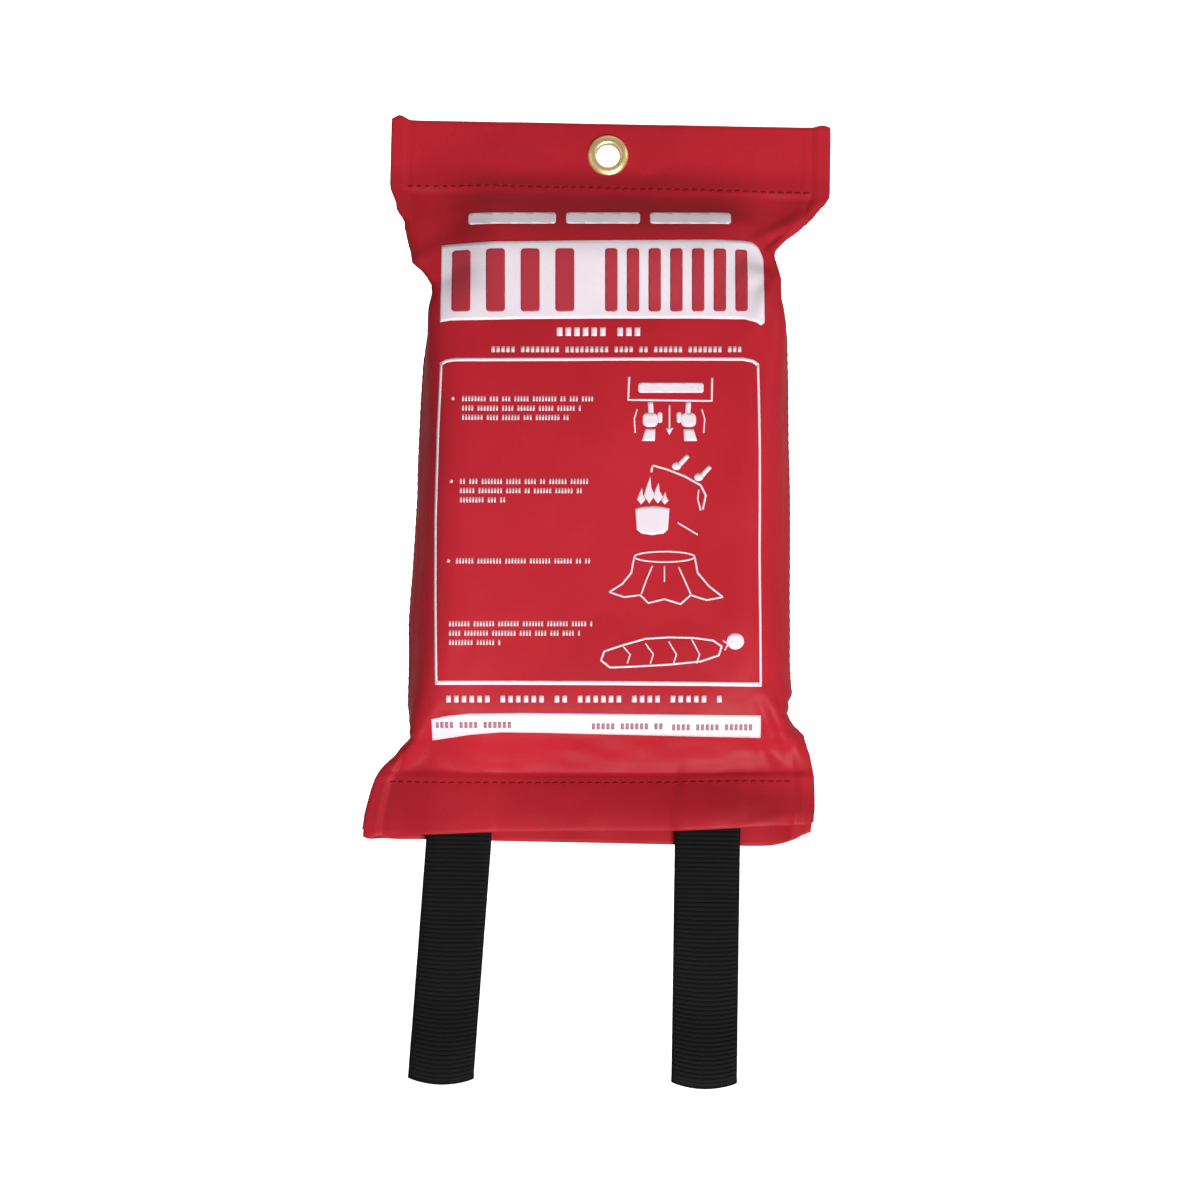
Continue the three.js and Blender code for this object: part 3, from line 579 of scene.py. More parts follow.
def coated_fabric(name, base, rough=0.46):
    """PVC-coated woven fabric: a smooth semi-gloss skin with the weave just showing through."""
    s = Shader(name)
    where = s.object_space()
    cloud = s.noise(where, scale=9.0, detail=3.0)
    colour = s.ramp(cloud, (0.3, shade(base, 0.84)), (0.7, shade(base, 1.10, 0.004)))
    # worn, slightly chalky edges and rubbed spots
    scuff = s.noise(where, scale=160.0, detail=6.0, roughness=0.65)
    worn = s.ramp(scuff, (0.60, 0), (0.74, 1))
    edge = s.ramp(s.add("NewGeometry").outputs["Pointiness"], (0.52, 0), (0.60, 1))
    rubbed = s.calc("MULTIPLY", s.calc("MULTIPLY", worn, edge), 0.35)
    colour = s.mix(rubbed, colour, shade(base, 1.5, 0.05))
    # painted shade: a vertex attribute darkens the colour towards deep red in the hem, along the
    # header's lower band and low at the sides
    colour = s.mix(s.attribute("painted_fold_shade"), colour, shade(base, 0.4))
    # weave, at about 2 threads a millimetre, pressed through the coating
    bands = [s.wave(where, scale=330.0, distortion=0.6, detail=1.0, detail_scale=40.0,
                    bands_direction=axis) for axis in ("X", "Z")]
    fine = s.noise(where, scale=420.0, detail=4.0, roughness=0.6)
    weave = s.calc("ADD", s.calc("ADD", *bands), fine)
    crush = s.noise(where, scale=34.0, detail=3.0, roughness=0.55, distortion=0.7)
    normal = s.bump(weave, strength=0.05, distance=0.00025)
    normal = s.bump(crush, strength=0.16, distance=0.0012, under=normal)
    gloss = s.add("MapRange", {
        "Value": scuff, "From Min": 0.3, "From Max": 0.75,
        "To Min": rough - 0.05, "To Max": rough + 0.09}).outputs["Result"]
    dull = s.calc("MULTIPLY_ADD", s.attribute("fold_grip"), 0.5, gloss, use_clamp=True)
    return s.principled({
        "Base Color": colour, "Roughness": dull, "Normal": normal, "Specular IOR Level": 0.10,
        "Coat Weight": 0.03, "Coat Roughness": 0.38})


def ink(name, colour, spots=0.0):
    """Screen-printed ink: matt, a little uneven, with pinholes where the weave shows."""
    s = Shader(name)
    where = s.object_space()
    cloud = s.noise(where, scale=55.0, detail=4.0, roughness=0.6)
    film = s.ramp(cloud, (0.25, shade(colour, 0.93)), (0.75, colour))
    grain = s.noise(where, scale=1500.0, detail=2.0)
    pinholes = s.calc("MULTIPLY", s.ramp(grain, (0.66, 0), (0.74, 1)), spots)
    return s.principled({
        "Base Color": s.mix(pinholes, film, (0.45, 0.05, 0.06)), "Roughness": 0.5,
        "Normal": s.bump(grain, strength=0.08, distance=0.0002)})


def webbing(name, base):
    """Ribbed polypropylene webbing. UV x runs across the strap and y along it, in millimetres."""
    s = Shader(name)
    uv = s.add("UVMap", uv_map="UVMap").outputs["UV"]
    axes = s.add("SeparateXYZ", {0: uv}).outputs

    def ridges(source, period, power):
        """Rounded ridges, two to a period."""
        sine = s.calc("SINE", s.calc("MULTIPLY", source, 2 * math.pi / period))
        return s.calc("POWER", s.calc("ABSOLUTE", sine), power)
    ribs = ridges(axes["Y"], period=3.4, power=0.7)       # weft ribs every 1.7 mm
    ends = ridges(axes["X"], period=1.5, power=0.8)       # warp yarns every 0.75 mm
    ends = s.add("MapRange", {"Value": ends, "To Min": 0.72, "To Max": 1.0}).outputs["Result"]
    weave = s.calc("MULTIPLY", ribs, ends)
    where = s.object_space()
    fuzz = s.noise(where, scale=900.0, detail=5.0, roughness=0.7)
    height = s.calc("MULTIPLY_ADD", fuzz, 0.35, weave)
    colour = s.ramp(weave, (0.1, shade(base, 0.6)), (0.75, base), (1.0, shade(base, 1.35, 0.0006)))
    dust = s.ramp(s.noise(where, scale=26.0, detail=4.0), (0.45, 0), (0.9, 0.35))
    return s.principled({
        "Base Color": s.mix(dust, colour, (0.008, 0.008, 0.009)), "Roughness": 0.6,
        "Specular IOR Level": 0.09, "Normal": s.bump(height, strength=0.42, distance=0.0003)})


def brass(name):
    s = Shader(name)
    where = s.object_space()
    cloud = s.noise(where, scale=320.0, detail=5.0, roughness=0.6)
    turned = s.wave(where, scale=240.0, distortion=2.0, detail=3.0,
                    wave_type="RINGS", rings_direction="Y")
    return s.principled({
        "Base Color": s.ramp(cloud, (0.3, (0.88, 0.62, 0.26)), (0.6, (0.97, 0.76, 0.38)),
                             (0.8, (1.0, 0.88, 0.56))),
        "Roughness": s.ramp(cloud, (0.3, 0.46), (0.75, 0.34)), "Metallic": 0.82,
        "Normal": s.bump(turned, strength=0.05, distance=0.0001)})


def glass_cloth(name):
    """Woven glass-fibre cloth: off-white satin weave with a slight sheen."""
    s = Shader(name)
    uv = s.add("UVMap", uv_map="UVMap").outputs["UV"]
    weave = s.calc("MULTIPLY", *[
        s.wave(uv, scale=scale, distortion=0.8, detail=2.0, bands_direction=axis)
        for axis, scale in (("X", 0.62), ("Y", 0.42))])
    crumple = s.noise(s.object_space(), scale=45.0, detail=5.0, roughness=0.6, distortion=0.5)
    normal = s.bump(weave, strength=0.55, distance=0.0003)
    normal = s.bump(crumple, strength=0.45, distance=0.0015, under=normal)
    tone = s.calc("MULTIPLY_ADD", weave, 0.6, crumple)
    return s.principled({
        "Base Color": s.ramp(tone, (0.3, (0.62, 0.60, 0.53)), (0.6, (0.78, 0.765, 0.70)),
                             (1.0, (0.88, 0.875, 0.84))),
        "Roughness": 0.55, "Sheen Weight": 0.25, "Normal": normal})


def nap(name, base, hooks):
    """Hook-and-loop face: dense fuzz for the loops, rows of small hooks for the other."""
    s = Shader(name)
    where = s.object_space()
    if hooks:
        height = s.add("TexVoronoi", {
            "Vector": where, "Scale": 900.0, "Randomness": 0.25}).outputs["Distance"]
    else:
        height = s.noise(where, scale=1100.0, detail=6.0, roughness=0.8, distortion=1.5)
    return s.principled({
        "Base Color": s.ramp(height, (0.2, shade(base, 0.5)), (0.8, shade(base, 1.9))),
        "Roughness": 0.6 if hooks else 0.9, "Sheen Weight": 0.0 if hooks else 0.3,
        "Normal": s.bump(height, strength=0.9, distance=0.0006)})


def thread(name, base):
    s = Shader(name)
    twist = s.wave(s.object_space(), scale=600.0, distortion=1.0, bands_direction="DIAGONAL")
    return s.principled({
        "Base Color": s.ramp(twist, (0.2, shade(base, 0.7)), (0.8, shade(base, 1.25))),
        "Roughness": 0.6, "Specular IOR Level": 0.12,
        "Normal": s.bump(twist, strength=0.5, distance=0.0002)})


RED = (0.455, 0.0135, 0.0245)
FABRIC = coated_fabric("pouch_coated_fabric", RED)
coated_fabric("pouch_lip_coated_fabric", shade(RED, 0.97), rough=0.48)   # a spare, on no piece
# a darker copy of the pouch fabric: painted shade for the seam allowance in the gap between the
# covers
SEAM_FABRIC_PAINTED_SHADE = coated_fabric("pouch_seam_fabric", shade(RED, 0.8), rough=0.5)
RED_THREAD = thread("thread_red", (0.30, 0.008, 0.013))
BLACK_THREAD = thread("thread_black", (0.03, 0.03, 0.033))
WHITE_INK = ink("print_white", (0.86, 0.755, 0.825), spots=0.25)
THIN_INK = ink("print_white_thin", (0.82, 0.60, 0.66), spots=0.3)
GREY_INK = ink("print_grey_small", (0.46, 0.20, 0.25))
RED_INK = ink("print_gap_red", (0.44, 0.022, 0.040))
WEBBING = webbing("webbing_black", (0.0024, 0.0024, 0.0027))
BRASS = brass("eyelet_brass")
GLASS_CLOTH = glass_cloth("glass_fibre_cloth")
LOOP_NAP = nap("loop_tape_nap", (0.018, 0.018, 0.02), hooks=False)
HOOK_NAP = nap("hook_tape_hooks", (0.022, 0.022, 0.024), hooks=True)


def place(piece, material, slot, replaced=(), body=None):
    """Gives a piece its material, the CAD pieces it stands for and the body it moves with."""
    piece.data.materials.clear()
    piece.data.materials.append(material)
    if replaced:
        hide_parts(*replaced)
    if body:
        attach(piece, body)
    return piece


# ---------------------------------------------------------------- shaping the covers
# creases and ridges of the front, in the print's frame: start x, z, end x, z, width, height
FOLDS = [
    (64.6, 78.66, 57, 61.18, 2.09, 1.2), (63.84, 80.94, 50.92, 74.86, 1.9, -0.6),
    (66.88, 92.34, 52.44, 98.42, 2.47, 1.2), (66.12, 86.26, 51.68, 90.06, 2.09, -0.7),
    (61.56, 98.42, 83.6, 107.92, 1.9, 1.0), (63.08, 93.1, 77.52, 101.84, 1.52, -0.45),
    (66.88, 94.62, 76, 98.42, 1.33, 0.5), (57.76, 102.22, 38, 106.78, 2.66, 0.5),
    (-63.08, 77.14, -55.48, 61.18, 2.28, 0.7), (-63.84, 80.18, -47.88, 88.54, 2.28, -0.6),
    (-70.68, 89.3, -47.88, 99.18, 3.04, 0.7), (-65.36, 83.22, -74.48, 102.22, 1.9, 0.6),
    (64.6, -77.9, 76.76, -99.18, 2.09, 1.1), (61.56, -82.46, 72.2, -103.74, 1.71, -0.9),
    (58.52, -90.06, 66.88, -107.54, 2.09, 0.7), (70.68, -73.34, 80.94, -92.34, 1.71, 0.6),
    (-63.84, -82.46, -75.24, -100.7, 2.28, 0.8), (-60.8, -87.02, -69.92, -103.74, 2.09, -0.6),
    (-56.24, -93.86, -15.2, -96.9, 3.42, 0.4), (0, -101.46, 53.2, -99.94, 3.04, 0.35),
    (15.2, 113.62, 68.4, 110.58, 3.04, -0.4), (-49.4, 109.82, -15.2, 113.62, 3.04, 0.3),
    (-49.4, -55.1, -60.8, -75.62, 3.8, -0.5), (65.36, 51.3, 57.76, 9.5, 3.04, 0.5),
    (66.88, -9.5, 59.28, -55.1, 3.42, -0.5), (55.1, -125.78, 80.56, -120.46, 1.9, 0.5),
    (65.36, -80.94, 74.48, -106.78, 1.368, 0.8), (68.4, -79.42, 78.28, -94.62, 1.216, -0.6),
    (62.32, -93.86, 70.68, -106.02, 1.368, -0.6), (-49.4, -96.14, -24.32, -102.22, 2.28, -0.4),
    (-15.2, -94.62, 15.2, -97.66, 1.9, 0.3), (34.2, -97.66, 56.24, -93.86, 1.9, -0.35)]


def fold_height(x, z):
    """Height of the creases and ridges over the front."""
    cos, sin = math.cos(ROLL), math.sin(ROLL)
    print_x, print_z = x * cos + z * sin - PRINT_X, z * cos - x * sin
    height = np.zeros_like(x)
    for x0, z0, x1, z1, width, amount in FOLDS:
        course = np.array([x1 - x0, z1 - z0])
        length = np.linalg.norm(course)
        course = course / length
        share = ((print_x - x0) * course[0] + (print_z - z0) * course[1]) / length
        off = (print_z - z0) * course[0] - (print_x - x0) * course[1]
        fade = np.cos(np.clip((share - 0.35) / 0.85, -1, 1) * math.pi / 2) ** 1.5
        fade = np.where((share > -0.25) & (share < 1.25), fade, 0)
        height += amount * fade * np.exp(-(off / (width * (1 + 0.8 * np.clip(share, 0, 1)))) ** 2)
    return height


def bell(x, middle, width):
    return np.exp(-((x - middle) / width) ** 2)


def detail(grid, down, side, rng):
    """Hems, turned-in seams, sewn lines and soft unevenness; gives the grid and its thickness."""
    shape = grid.shape[:2]
    normal = side_normals(grid, side)
    u = np.linspace(-1, 1, shape[0])[:, None]
    down = down[None, :]
    x, z = grid[..., 0], grid[..., 2]
    edge = (1 - np.abs(u)) * HALF_CLOTH                    # cloth distance to the side seam
    flat = 1 - ease(28, 44, down) * (1 - ease(CREASE_DOWN - 22, CREASE_DOWN - 4, down))
    lift = np.zeros(shape)
    # header hem: double cloth, swelling a little towards its sewn lower edge
    header = 1 - ease(25.6, 26.6, down)
    swell = 0.75 if side < 0 else 1.3
    lift += -0.26 * header \
        + swell * header * ease(13, 26.5, down) * (1 - ease(0.84, 1.0, np.abs(u)))
    lift -= 0.16 * bell(down, 26.3, 0.9)
    # mouth hem
    hem = ease(CREASE_DOWN - 0.5, CREASE_DOWN + 0.6, down)
    lift += 0.42 * hem - 0.14 * bell(down, CREASE_DOWN, 1.2)
    # turned-in seam allowance shows as a raised band along the sides where the pouch lies flat
    lift += 0.80 * (1 - ease(4.6, 6.0, edge)) * (0.25 + 0.75 * flat)
    lift += 0.25 * bell(edge, 8.2, 0.9) * flat * header
    lift -= 0.30 * bell(edge, 7.0, 1.4) * flat * (1 - header)
    # needle puckers beside the sewn lines
    for line, depth in ((HEADER_STITCH_DOWN, 0.10), (LIP_STITCH_DOWN, 0.12)):
        lift -= depth * (0.6 + 0.4 * np.cos(2 * math.pi * x / 3.3)) * bell(down, line, 1.3)
    # folded layers behind the fabric
    soft = value_noise(rng, shape, (7, 12)) * 0.30 + value_noise(rng, shape, (16, 27)) * 0.10
    lift += soft * ease(30, 60, down) * (1 - ease(CREASE_DOWN - 30, CREASE_DOWN - 8, down)) \
        * (1.0 if side < 0 else 0.45)
    # loose cloth above and below the bundle
    loose = (1 - ease(27, 60, down) + ease(CREASE_DOWN - 34, CREASE_DOWN, down)) \
        * ease(2, 12, edge)
    calm = 1 - 0.6 * bell(down, 13, 9.0) * (np.abs(x) < 14)     # held flat round the eyelet
    lift += (value_noise(rng, shape, (9, 14)) * 0.24 + value_noise(rng, shape, (17, 31)) * 0.10) \
        * loose * calm
    taper = ease(CREASE_DOWN - 34, CREASE_DOWN - 20, down) \
        * (1 - ease(CREASE_DOWN - 6, CREASE_DOWN, down))
    lift += value_noise(rng, shape, (13, 40)) * 0.30 * taper * ease(4, 16, edge)
    if side < 0:
        lift += fold_height(x, z)
    # the straps show through where they pass the mouth
    for strap, amount in (("left", 0.25), ("right", 0.75)):
        off = np.abs(x - strap_x(z, strap))
        lift += amount * (1 - ease(10.5, 15.0, off)) * (1 - ease(-108, -96, z)) \
            * (1.0 if side < 0 else 0.5)
    made = grid + normal * lift[..., None]
    thick = 0.62 + 0.72 * header + 0.72 * hem
    # plies keep clear of the seam plane, the straps and the tapes
    y = made[..., 1]
    clear = thick / 2 + 0.08 \
        + 2.0 * (1 - ease(66, 77, np.abs(made[..., 0]))) * (1 - ease(-98, -88, made[..., 2]))
    y[...] = np.where(side < 0, np.minimum(y, SEAM_Y - clear), np.maximum(y, SEAM_Y + clear))
    if side > 0:
        y[...] = np.minimum(y, -thick / 2 + 0.02)
    return made, thick * np.ones(shape)


def shape_edges(grid, down):
    """Corner ears where the seam's bulk pushes out, and a dip at the lower left."""
    u = np.linspace(-1, 1, grid.shape[0])[:, None]
    down = down[None, :]
    from_left, from_right = (u + 1) * HALF_CLOTH, (1 - u) * HALF_CLOTH
    ears = 1.9 * bell(from_left, 2.6, 2.6) + 0.9 * bell(from_right, 2.6, 2.4)
    grid[..., 2] += ears * (1 - ease(0, 9, down))
    last = ROW_DOWN[FRONT_ROWS - 1]
    grid[..., 2] -= 1.5 * bell(from_left, 2.0, 4.0) * ease(last - 9, last, down)


def fill_out(grid):
    """Swells the front out from low in the header on, to be full at the top of the bundle."""
    x, z = grid[..., 0], grid[..., 2]
    full_row = int(np.argmin(np.abs(grid[grid.shape[0] // 2, :, 2] - 66)))
    full = SEAM_Y - grid[:, full_row, 1]
    rise = 1 - ease(90, 125.5, z)
    across = (1 - ease(40, 70, np.abs(x))) \
        * (1 - ease(0, 14, np.abs(x) - np.interp(z, [86, 116], [60, 78])))
    want = SEAM_Y - (1.0 + (full[:, None] * 0.985 - 1.0) * rise * across)
    grid[..., 1] = np.where(z > 60, np.minimum(grid[..., 1], want), grid[..., 1])
    return relax(grid, 6)


def level(grid, down, edge, flare):
    """Brings the crease and the lip's own edge to the heights they hang at."""
    crease_row = int(np.argmin(np.abs(down - CREASE_DOWN)))
    x = grid[..., 0]

    def soft(values):
        kernel = np.exp(-np.linspace(-2, 2, 13) ** 2)
        return np.convolve(np.pad(values, 6, mode="edge"), kernel / kernel.sum(), "valid")
    to_crease = soft(np.interp(x[:, crease_row], *zip(*CREASE_LINE)) - grid[:, crease_row, 2])
    to_edge = soft(np.interp(x[:, -1], *zip(*edge)) - grid[:, -1, 2]) - to_crease
    share = np.clip((down - CREASE_DOWN) / (down[-1] - CREASE_DOWN), 0, 1)
    grid[..., 1] -= np.interp(x[:, -1], *zip(*flare))[:, None] \
        * np.sin(math.pi * 0.62 * share)[None, :]
    grid[..., 2] += to_crease[:, None] * ease(CREASE_DOWN - 40, CREASE_DOWN, down)[None, :]
    grid[..., 2] += to_edge[:, None] * share[None, :]


def keep_outline(grid, down):
    """Brings the sides of a cover onto the seams' own line."""
    u = np.linspace(-1, 1, grid.shape[0])[:, None]
    below = ease(26, 34, down)
    for edge, table, near in ((0, SEAM_LEFT, (1 - u) / 2), (-1, SEAM_RIGHT, (1 + u) / 2)):
        miss = (along(table, grid[edge, :, 2]) - grid[edge, :, 0]) * below
        grid[..., 0] += np.clip(near, 0, 1) ** 3 * miss[None, :]


def join_sides(front, back):
    """Makes the covers meet at the side seams all the way down."""
    rows = front.shape[1]
    for edge in (0, -1):
        middle = (front[edge] + back[edge, :rows]) / 2
        for axis in (0, 2):
            front[edge, :, axis] = middle[:, axis]
            back[edge, :rows, axis] = middle[:, axis]


def gather(covers):
    """Past the ends of the bundle the covers are drawn in, no wider than the seams' own line."""
    heights = np.arange(-104.0, 113.0, 1.0)
    for sign, table, spare in ((-1, SEAM_LEFT, SPARE_LEFT), (1, SEAM_RIGHT, SPARE_RIGHT)):
        wide = np.array([max(
            float(np.max(np.where(np.abs(grid[..., 2] - height) < 1.4, sign * grid[..., 0], 0)))
            for grid in covers) for height in heights])
        wide = np.convolve(np.pad(wide, 2, mode="edge"), np.array([1, 2, 3, 2, 1]) / 9, "valid")
        for grid in covers:
            x, z = sign * grid[..., 0], grid[..., 2]
            limit = np.abs(along(table, z)) + np.interp(z, *zip(*spare))
            over = np.maximum(np.interp(z, heights, wide) - limit, 0) \
                * ease(-108, -100, z) * (1 - ease(108, 116, z))
            share = np.clip((x - limit + 13) / (13 + over), 0, 1.1)
            grid[..., 0] = sign * (x - over * share ** 2)


# sewn lines, by cloth length below the top edge
HEADER_STITCH_DOWN, LIP_STITCH_DOWN = 24.6, CREASE_DOWN + 3.6

# lip lines: X, height Z
CREASE_LINE = [(-88, -107.2), (-30, -107.2), (26, -106.2), (84, -104.6)]
FRONT_LIP = [(-88, -132.0), (-80, -131.0), (-62, -130), (-39, -128.6), (26, -126.9),
             (56, -124.9), (84, -123.8)]
BACK_LIP = [(-88, -132.4), (-40, -132.6), (58, -132.8), (67, -132.7), (76, -130.0), (84, -124.8)]
# how far the lips stand forward: X, amount
FRONT_FLARE = [(-84, 0), (-70, 1.2), (-40, 2.3), (20, 3.1), (58, 4.0), (72, 2.3), (82, 0)]
BACK_FLARE = [(-84, 0), (84, 0)]
# how far a gathered cover may stand out past its seam: Z, amount
SPARE_LEFT = [(-102, 1.6), (-96, 1.4), (-88, 0.9), (-80, 1.1), (60, 1.1), (70, 0.9), (74, 0.1),
              (80, 0.0), (84, 0.7), (96, 0.9), (112, 0.2)]
SPARE_RIGHT = [(-102, 0.4), (-92, 0.6), (-86, 0.9), (-76, 0.9), (-60, 0.5), (56, 0.9),
               (66, 0.6), (72, 0.0), (84, 0.1), (88, -0.4), (93, -1.4), (98, -1.2), (112, -0.1)]


def refined_down(rows):
    return refine(np.repeat(ROW_DOWN[None, :rows, None], 2, 0))[0, :, 0]


front, back = [refine(relax(sheet, 5, (HEADER_ROWS, CREASE_ROW)))
               for sheet in drape(900)]
front_down, back_down = refined_down(FRONT_ROWS), refined_down(BACK_ROWS)
shape_edges(front, front_down)
shape_edges(back, back_down)
front = fill_out(front)
level(front, front_down, FRONT_LIP, FRONT_FLARE)
level(back, back_down, BACK_LIP, BACK_FLARE)
keep_outline(front, front_down)
keep_outline(back, back_down)
join_sides(front, back)
detail_rng = np.random.default_rng(11)
front, front_thick = detail(front, front_down, -1, detail_rng)
back, back_thick = detail(back, back_down, 1, detail_rng)
gather((front, back))


# ---------------------------------------------------------------- cover meshes
def punch(cover):
    """Opens the eyelet hole through a cover, as a clean circle."""
    bpy.context.view_layer.update()
    sides, radius, reach = 48, 5.3, 9
    angles = [2 * math.pi * i / sides for i in range(sides)]
    verts = [(EYE[0] + radius * math.cos(angle), y, EYE[2] + radius * math.sin(angle))
             for y in (SEAM_Y - reach, SEAM_Y + reach) for angle in angles]
    faces = [(i, (i + 1) % sides, (i + 1) % sides + sides, i + sides) for i in range(sides)]
    faces += [tuple(range(sides))[::-1], tuple(range(sides, 2 * sides))]
    cutter = mesh_object("cutter", verts, faces, False)
    face_outward(cutter)
    hole = cover.modifiers.new("hole", "BOOLEAN")
    hole.operation, hole.object, hole.solver = "DIFFERENCE", cutter, "EXACT"
    graph = bpy.context.evaluated_depsgraph_get()
    punched = bpy.data.meshes.new_from_object(cover.evaluated_get(graph))
    cover.modifiers.clear()
    whole = cover.data
    cover.data = punched
    punched.name = whole.name + "_punched"
    bpy.data.meshes.remove(whole)
    bpy.data.objects.remove(cutter)
    punched.polygons.foreach_set("use_smooth", [True] * len(punched.polygons))


def add_attribute(piece, name, values):
    made = piece.data.attributes.new(name, "FLOAT", "POINT")
    made.data.foreach_set("value", values.astype(np.float32))


def painted_fold_shade(cover, side):
    """Painted shade: a vertex attribute that darkens the colour in the hem below the mouth's
    crease, along the header's lower band and low at the sides.
    """
    x, _, z = vertices_mm(cover).T
    lip_edge = np.interp(x, [-62, 26, 84], [-130, -127, -124])
    share = np.clip((CREASE_Z - 1.6 - z) / (CREASE_Z - lip_edge), 0, 1.3)
    full_at = 0.05 + 0.4 * ease(30, 62, x) + 0.2 * (1 - ease(-70, -40, x))
    # painted shade in the hem below the mouth's crease, weaker at the left
    tone = 0.34 * ease(0, full_at, share) * (0.82 + 0.18 * ease(0.05, 0.4, share)) \
        * (1 - ease(0.62, 1.02, share)) * (0.35 + 0.65 * ease(-72, 10, x)) \
        * (1 + 0.35 * ease(38, 52, x) * (1 - ease(66, 76, x)))
    # painted shade along the lower band of the header
    tone = tone + 0.26 * (1 - ease(118, 127, z)) * ease(98, 110, z)
    # painted shade at the sides, low on the pouch
    tone = tone + 0.15 * ease(40, 68, np.abs(x)) * (1 - ease(-90, -72, z))
    if side > 0:
        tone = tone * 0.5
    add_attribute(cover, "painted_fold_shade", tone)
    # where the cloth is gathered tight at the necks its skin is creased dull
    grip = bell(z, 80, 11) * ease(56, 63, -x) + bell(z, 95, 11) * ease(54, 61, x)
    add_attribute(cover, "fold_grip", np.clip(grip, 0, 1))


def cover_sheet(name, grid, down, thick, side):
    across = np.linspace(-HALF_CLOTH, HALF_CLOTH, grid.shape[0])[:, None]
    return thick_sheet(name, grid, side_normals(grid, side), thick, spread(across, down[None, :]))


front_cover = cover_sheet("front_cover", front, front_down, front_thick, -1)
back_cover = cover_sheet("back_cover", back, back_down, back_thick, 1)
for cover in (front_cover, back_cover):
    punch(cover)
painted_fold_shade(front_cover, -1)
painted_fold_shade(back_cover, 1)
place(front_cover, FABRIC, "pouch_fabric",
      ("front_panel", "front_lower_panel", "front_mouth_lip"))
place(back_cover, FABRIC, "pouch_fabric", ("back_panel", "back_mouth_lip"))


def blend_with(piece, weight):
    """Bakes a piece's placement and works out its blend weights, by weight(points in millimetres);
    the weights are not used.
    """
    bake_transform(piece)
    share = weight(vertices_mm(piece)).astype(np.float32)


def blend_lip(piece):
    """Blend weights for the opening lip, full in the middle and none at the side seams; they are
    not applied.
    """
    above, below = CREASE_Z + 3.0, CREASE_Z - 3.5
    blend_with(piece,
               lambda points: ease(-above, -below, -points[:, 2])
               * (1 - ease(50, 78, np.abs(points[:, 0]))))


# ---------------------------------------------------------------- sewn lines
def surface_of(piece):
    return BVHTree.FromPolygons([vert.co.copy() for vert in piece.data.vertices],
                                [tuple(face.vertices) for face in piece.data.polygons])


SKINS = {-1: surface_of(front_cover), 1: surface_of(back_cover)}


def on_skin(x, z, side, lift=0.0):
    """Point and outward normal on a cover; a pair of None where the ray misses it."""
    hit, normal, _, _ = SKINS[side].ray_cast(
        Vector((x * MM, side * 0.12, z * MM)), Vector((0, -side, 0)))
    if hit is None:
        return None, None
    normal = np.array(normal)
    if normal[1] * side < 0:
        normal = -normal
    return np.array(hit) / MM + normal * lift, normal


def sewn_row(name, side, down, x_start, x_end, replaced, body=None):
    """Stitches along one row of a cover."""
    grid = front if side < 0 else back
    row = int(np.argmin(np.abs(front_down - down)))
    points, out = [], []
    for x in np.arange(x_start, x_end + 0.01, 1.1):
        z = float(np.interp(x, grid[:, row, 0], grid[:, row, 2]))
        point, normal = on_skin(x, z, side)
        if point is not None:
            points.append(point)
            out.append(normal)
    return place(stitches(name, points, out), RED_THREAD, "thread_red", (replaced,), body)


sewn_row("header_stitches_front", -1, HEADER_STITCH_DOWN, -77.5, 79.5, "header_stitch_front",
         "pouch")
sewn_row("header_stitches_back", 1, HEADER_STITCH_DOWN, -77.5, 79.5, "header_stitch_back",
         "pouch")
front_lip_thread = sewn_row("front_lip_stitches", -1, LIP_STITCH_DOWN, -80, 76,
                            "front_lip_stitch")
sewn_row("back_lip_stitches", 1, LIP_STITCH_DOWN, -80, 76, "back_lip_stitch", "pouch")


def side_seam(name, edge, sign):
    """The turned-in allowance, its edge just showing between the covers, and its thread."""
    show = 0.42
    rows = front.shape[1]
    line = (front[edge] + back[edge, :rows]) / 2
    line[:, 1] = SEAM_Y + (line[:, 1] - SEAM_Y) * 0.2
    down = front_down
    inset = np.interp(
        down, [0, 30, 44, 52, CREASE_DOWN - 22, CREASE_DOWN - 6, down[-1]],
        [5.0, 5.0, 2.6, 2.0, 2.0, 4.6, 5.0])
    near = 3 if edge == 0 else -4
    front_room = SEAM_Y - (front[near, :, 1] + front_thick[near, :] / 2)
    back_room = back[near, :rows, 1] - back_thick[near, :rows] / 2 - SEAM_Y
    fill = np.clip(2 * np.minimum(front_room, back_room) - 0.16, 0.22, 1.5)
    fill = np.where((down > 30) & (down < CREASE_DOWN - 6), np.minimum(fill, 0.5), fill)
    fill = np.convolve(np.pad(fill, 4, mode="edge"), np.ones(9) / 9, "valid")
    strips = []
    for share in np.linspace(0, 1, 5):
        strip = line.copy()
        strip[:, 0] += sign * (show - share * (inset + show))
        strips.append(strip)
    grid = np.stack(strips)[:, ::2][:, 1:]
    normal = np.zeros_like(grid)
    normal[..., 1] = -1
    profile = np.array([0.45, 0.8, 1, 1, 1])[:, None]
    allowance = thick_sheet(name + "_allowance", grid, normal, fill[::2][None, 1:] * profile)
    place(allowance, SEAM_FABRIC_PAINTED_SHADE, "pouch_seam", (name,), "pouch")
    points = line[6:rows - 3:2] + (sign * 0.30, 0, 0)
    sewn = stitches(name + "_thread", points, (sign * 1.0, 0, 0), length=2.2, gap=1.2, radius=0.2)
    place(sewn, RED_THREAD, "thread_red", body="pouch")


side_seam("left_side_seam", 0, -1)
side_seam("right_side_seam", -1, 1)


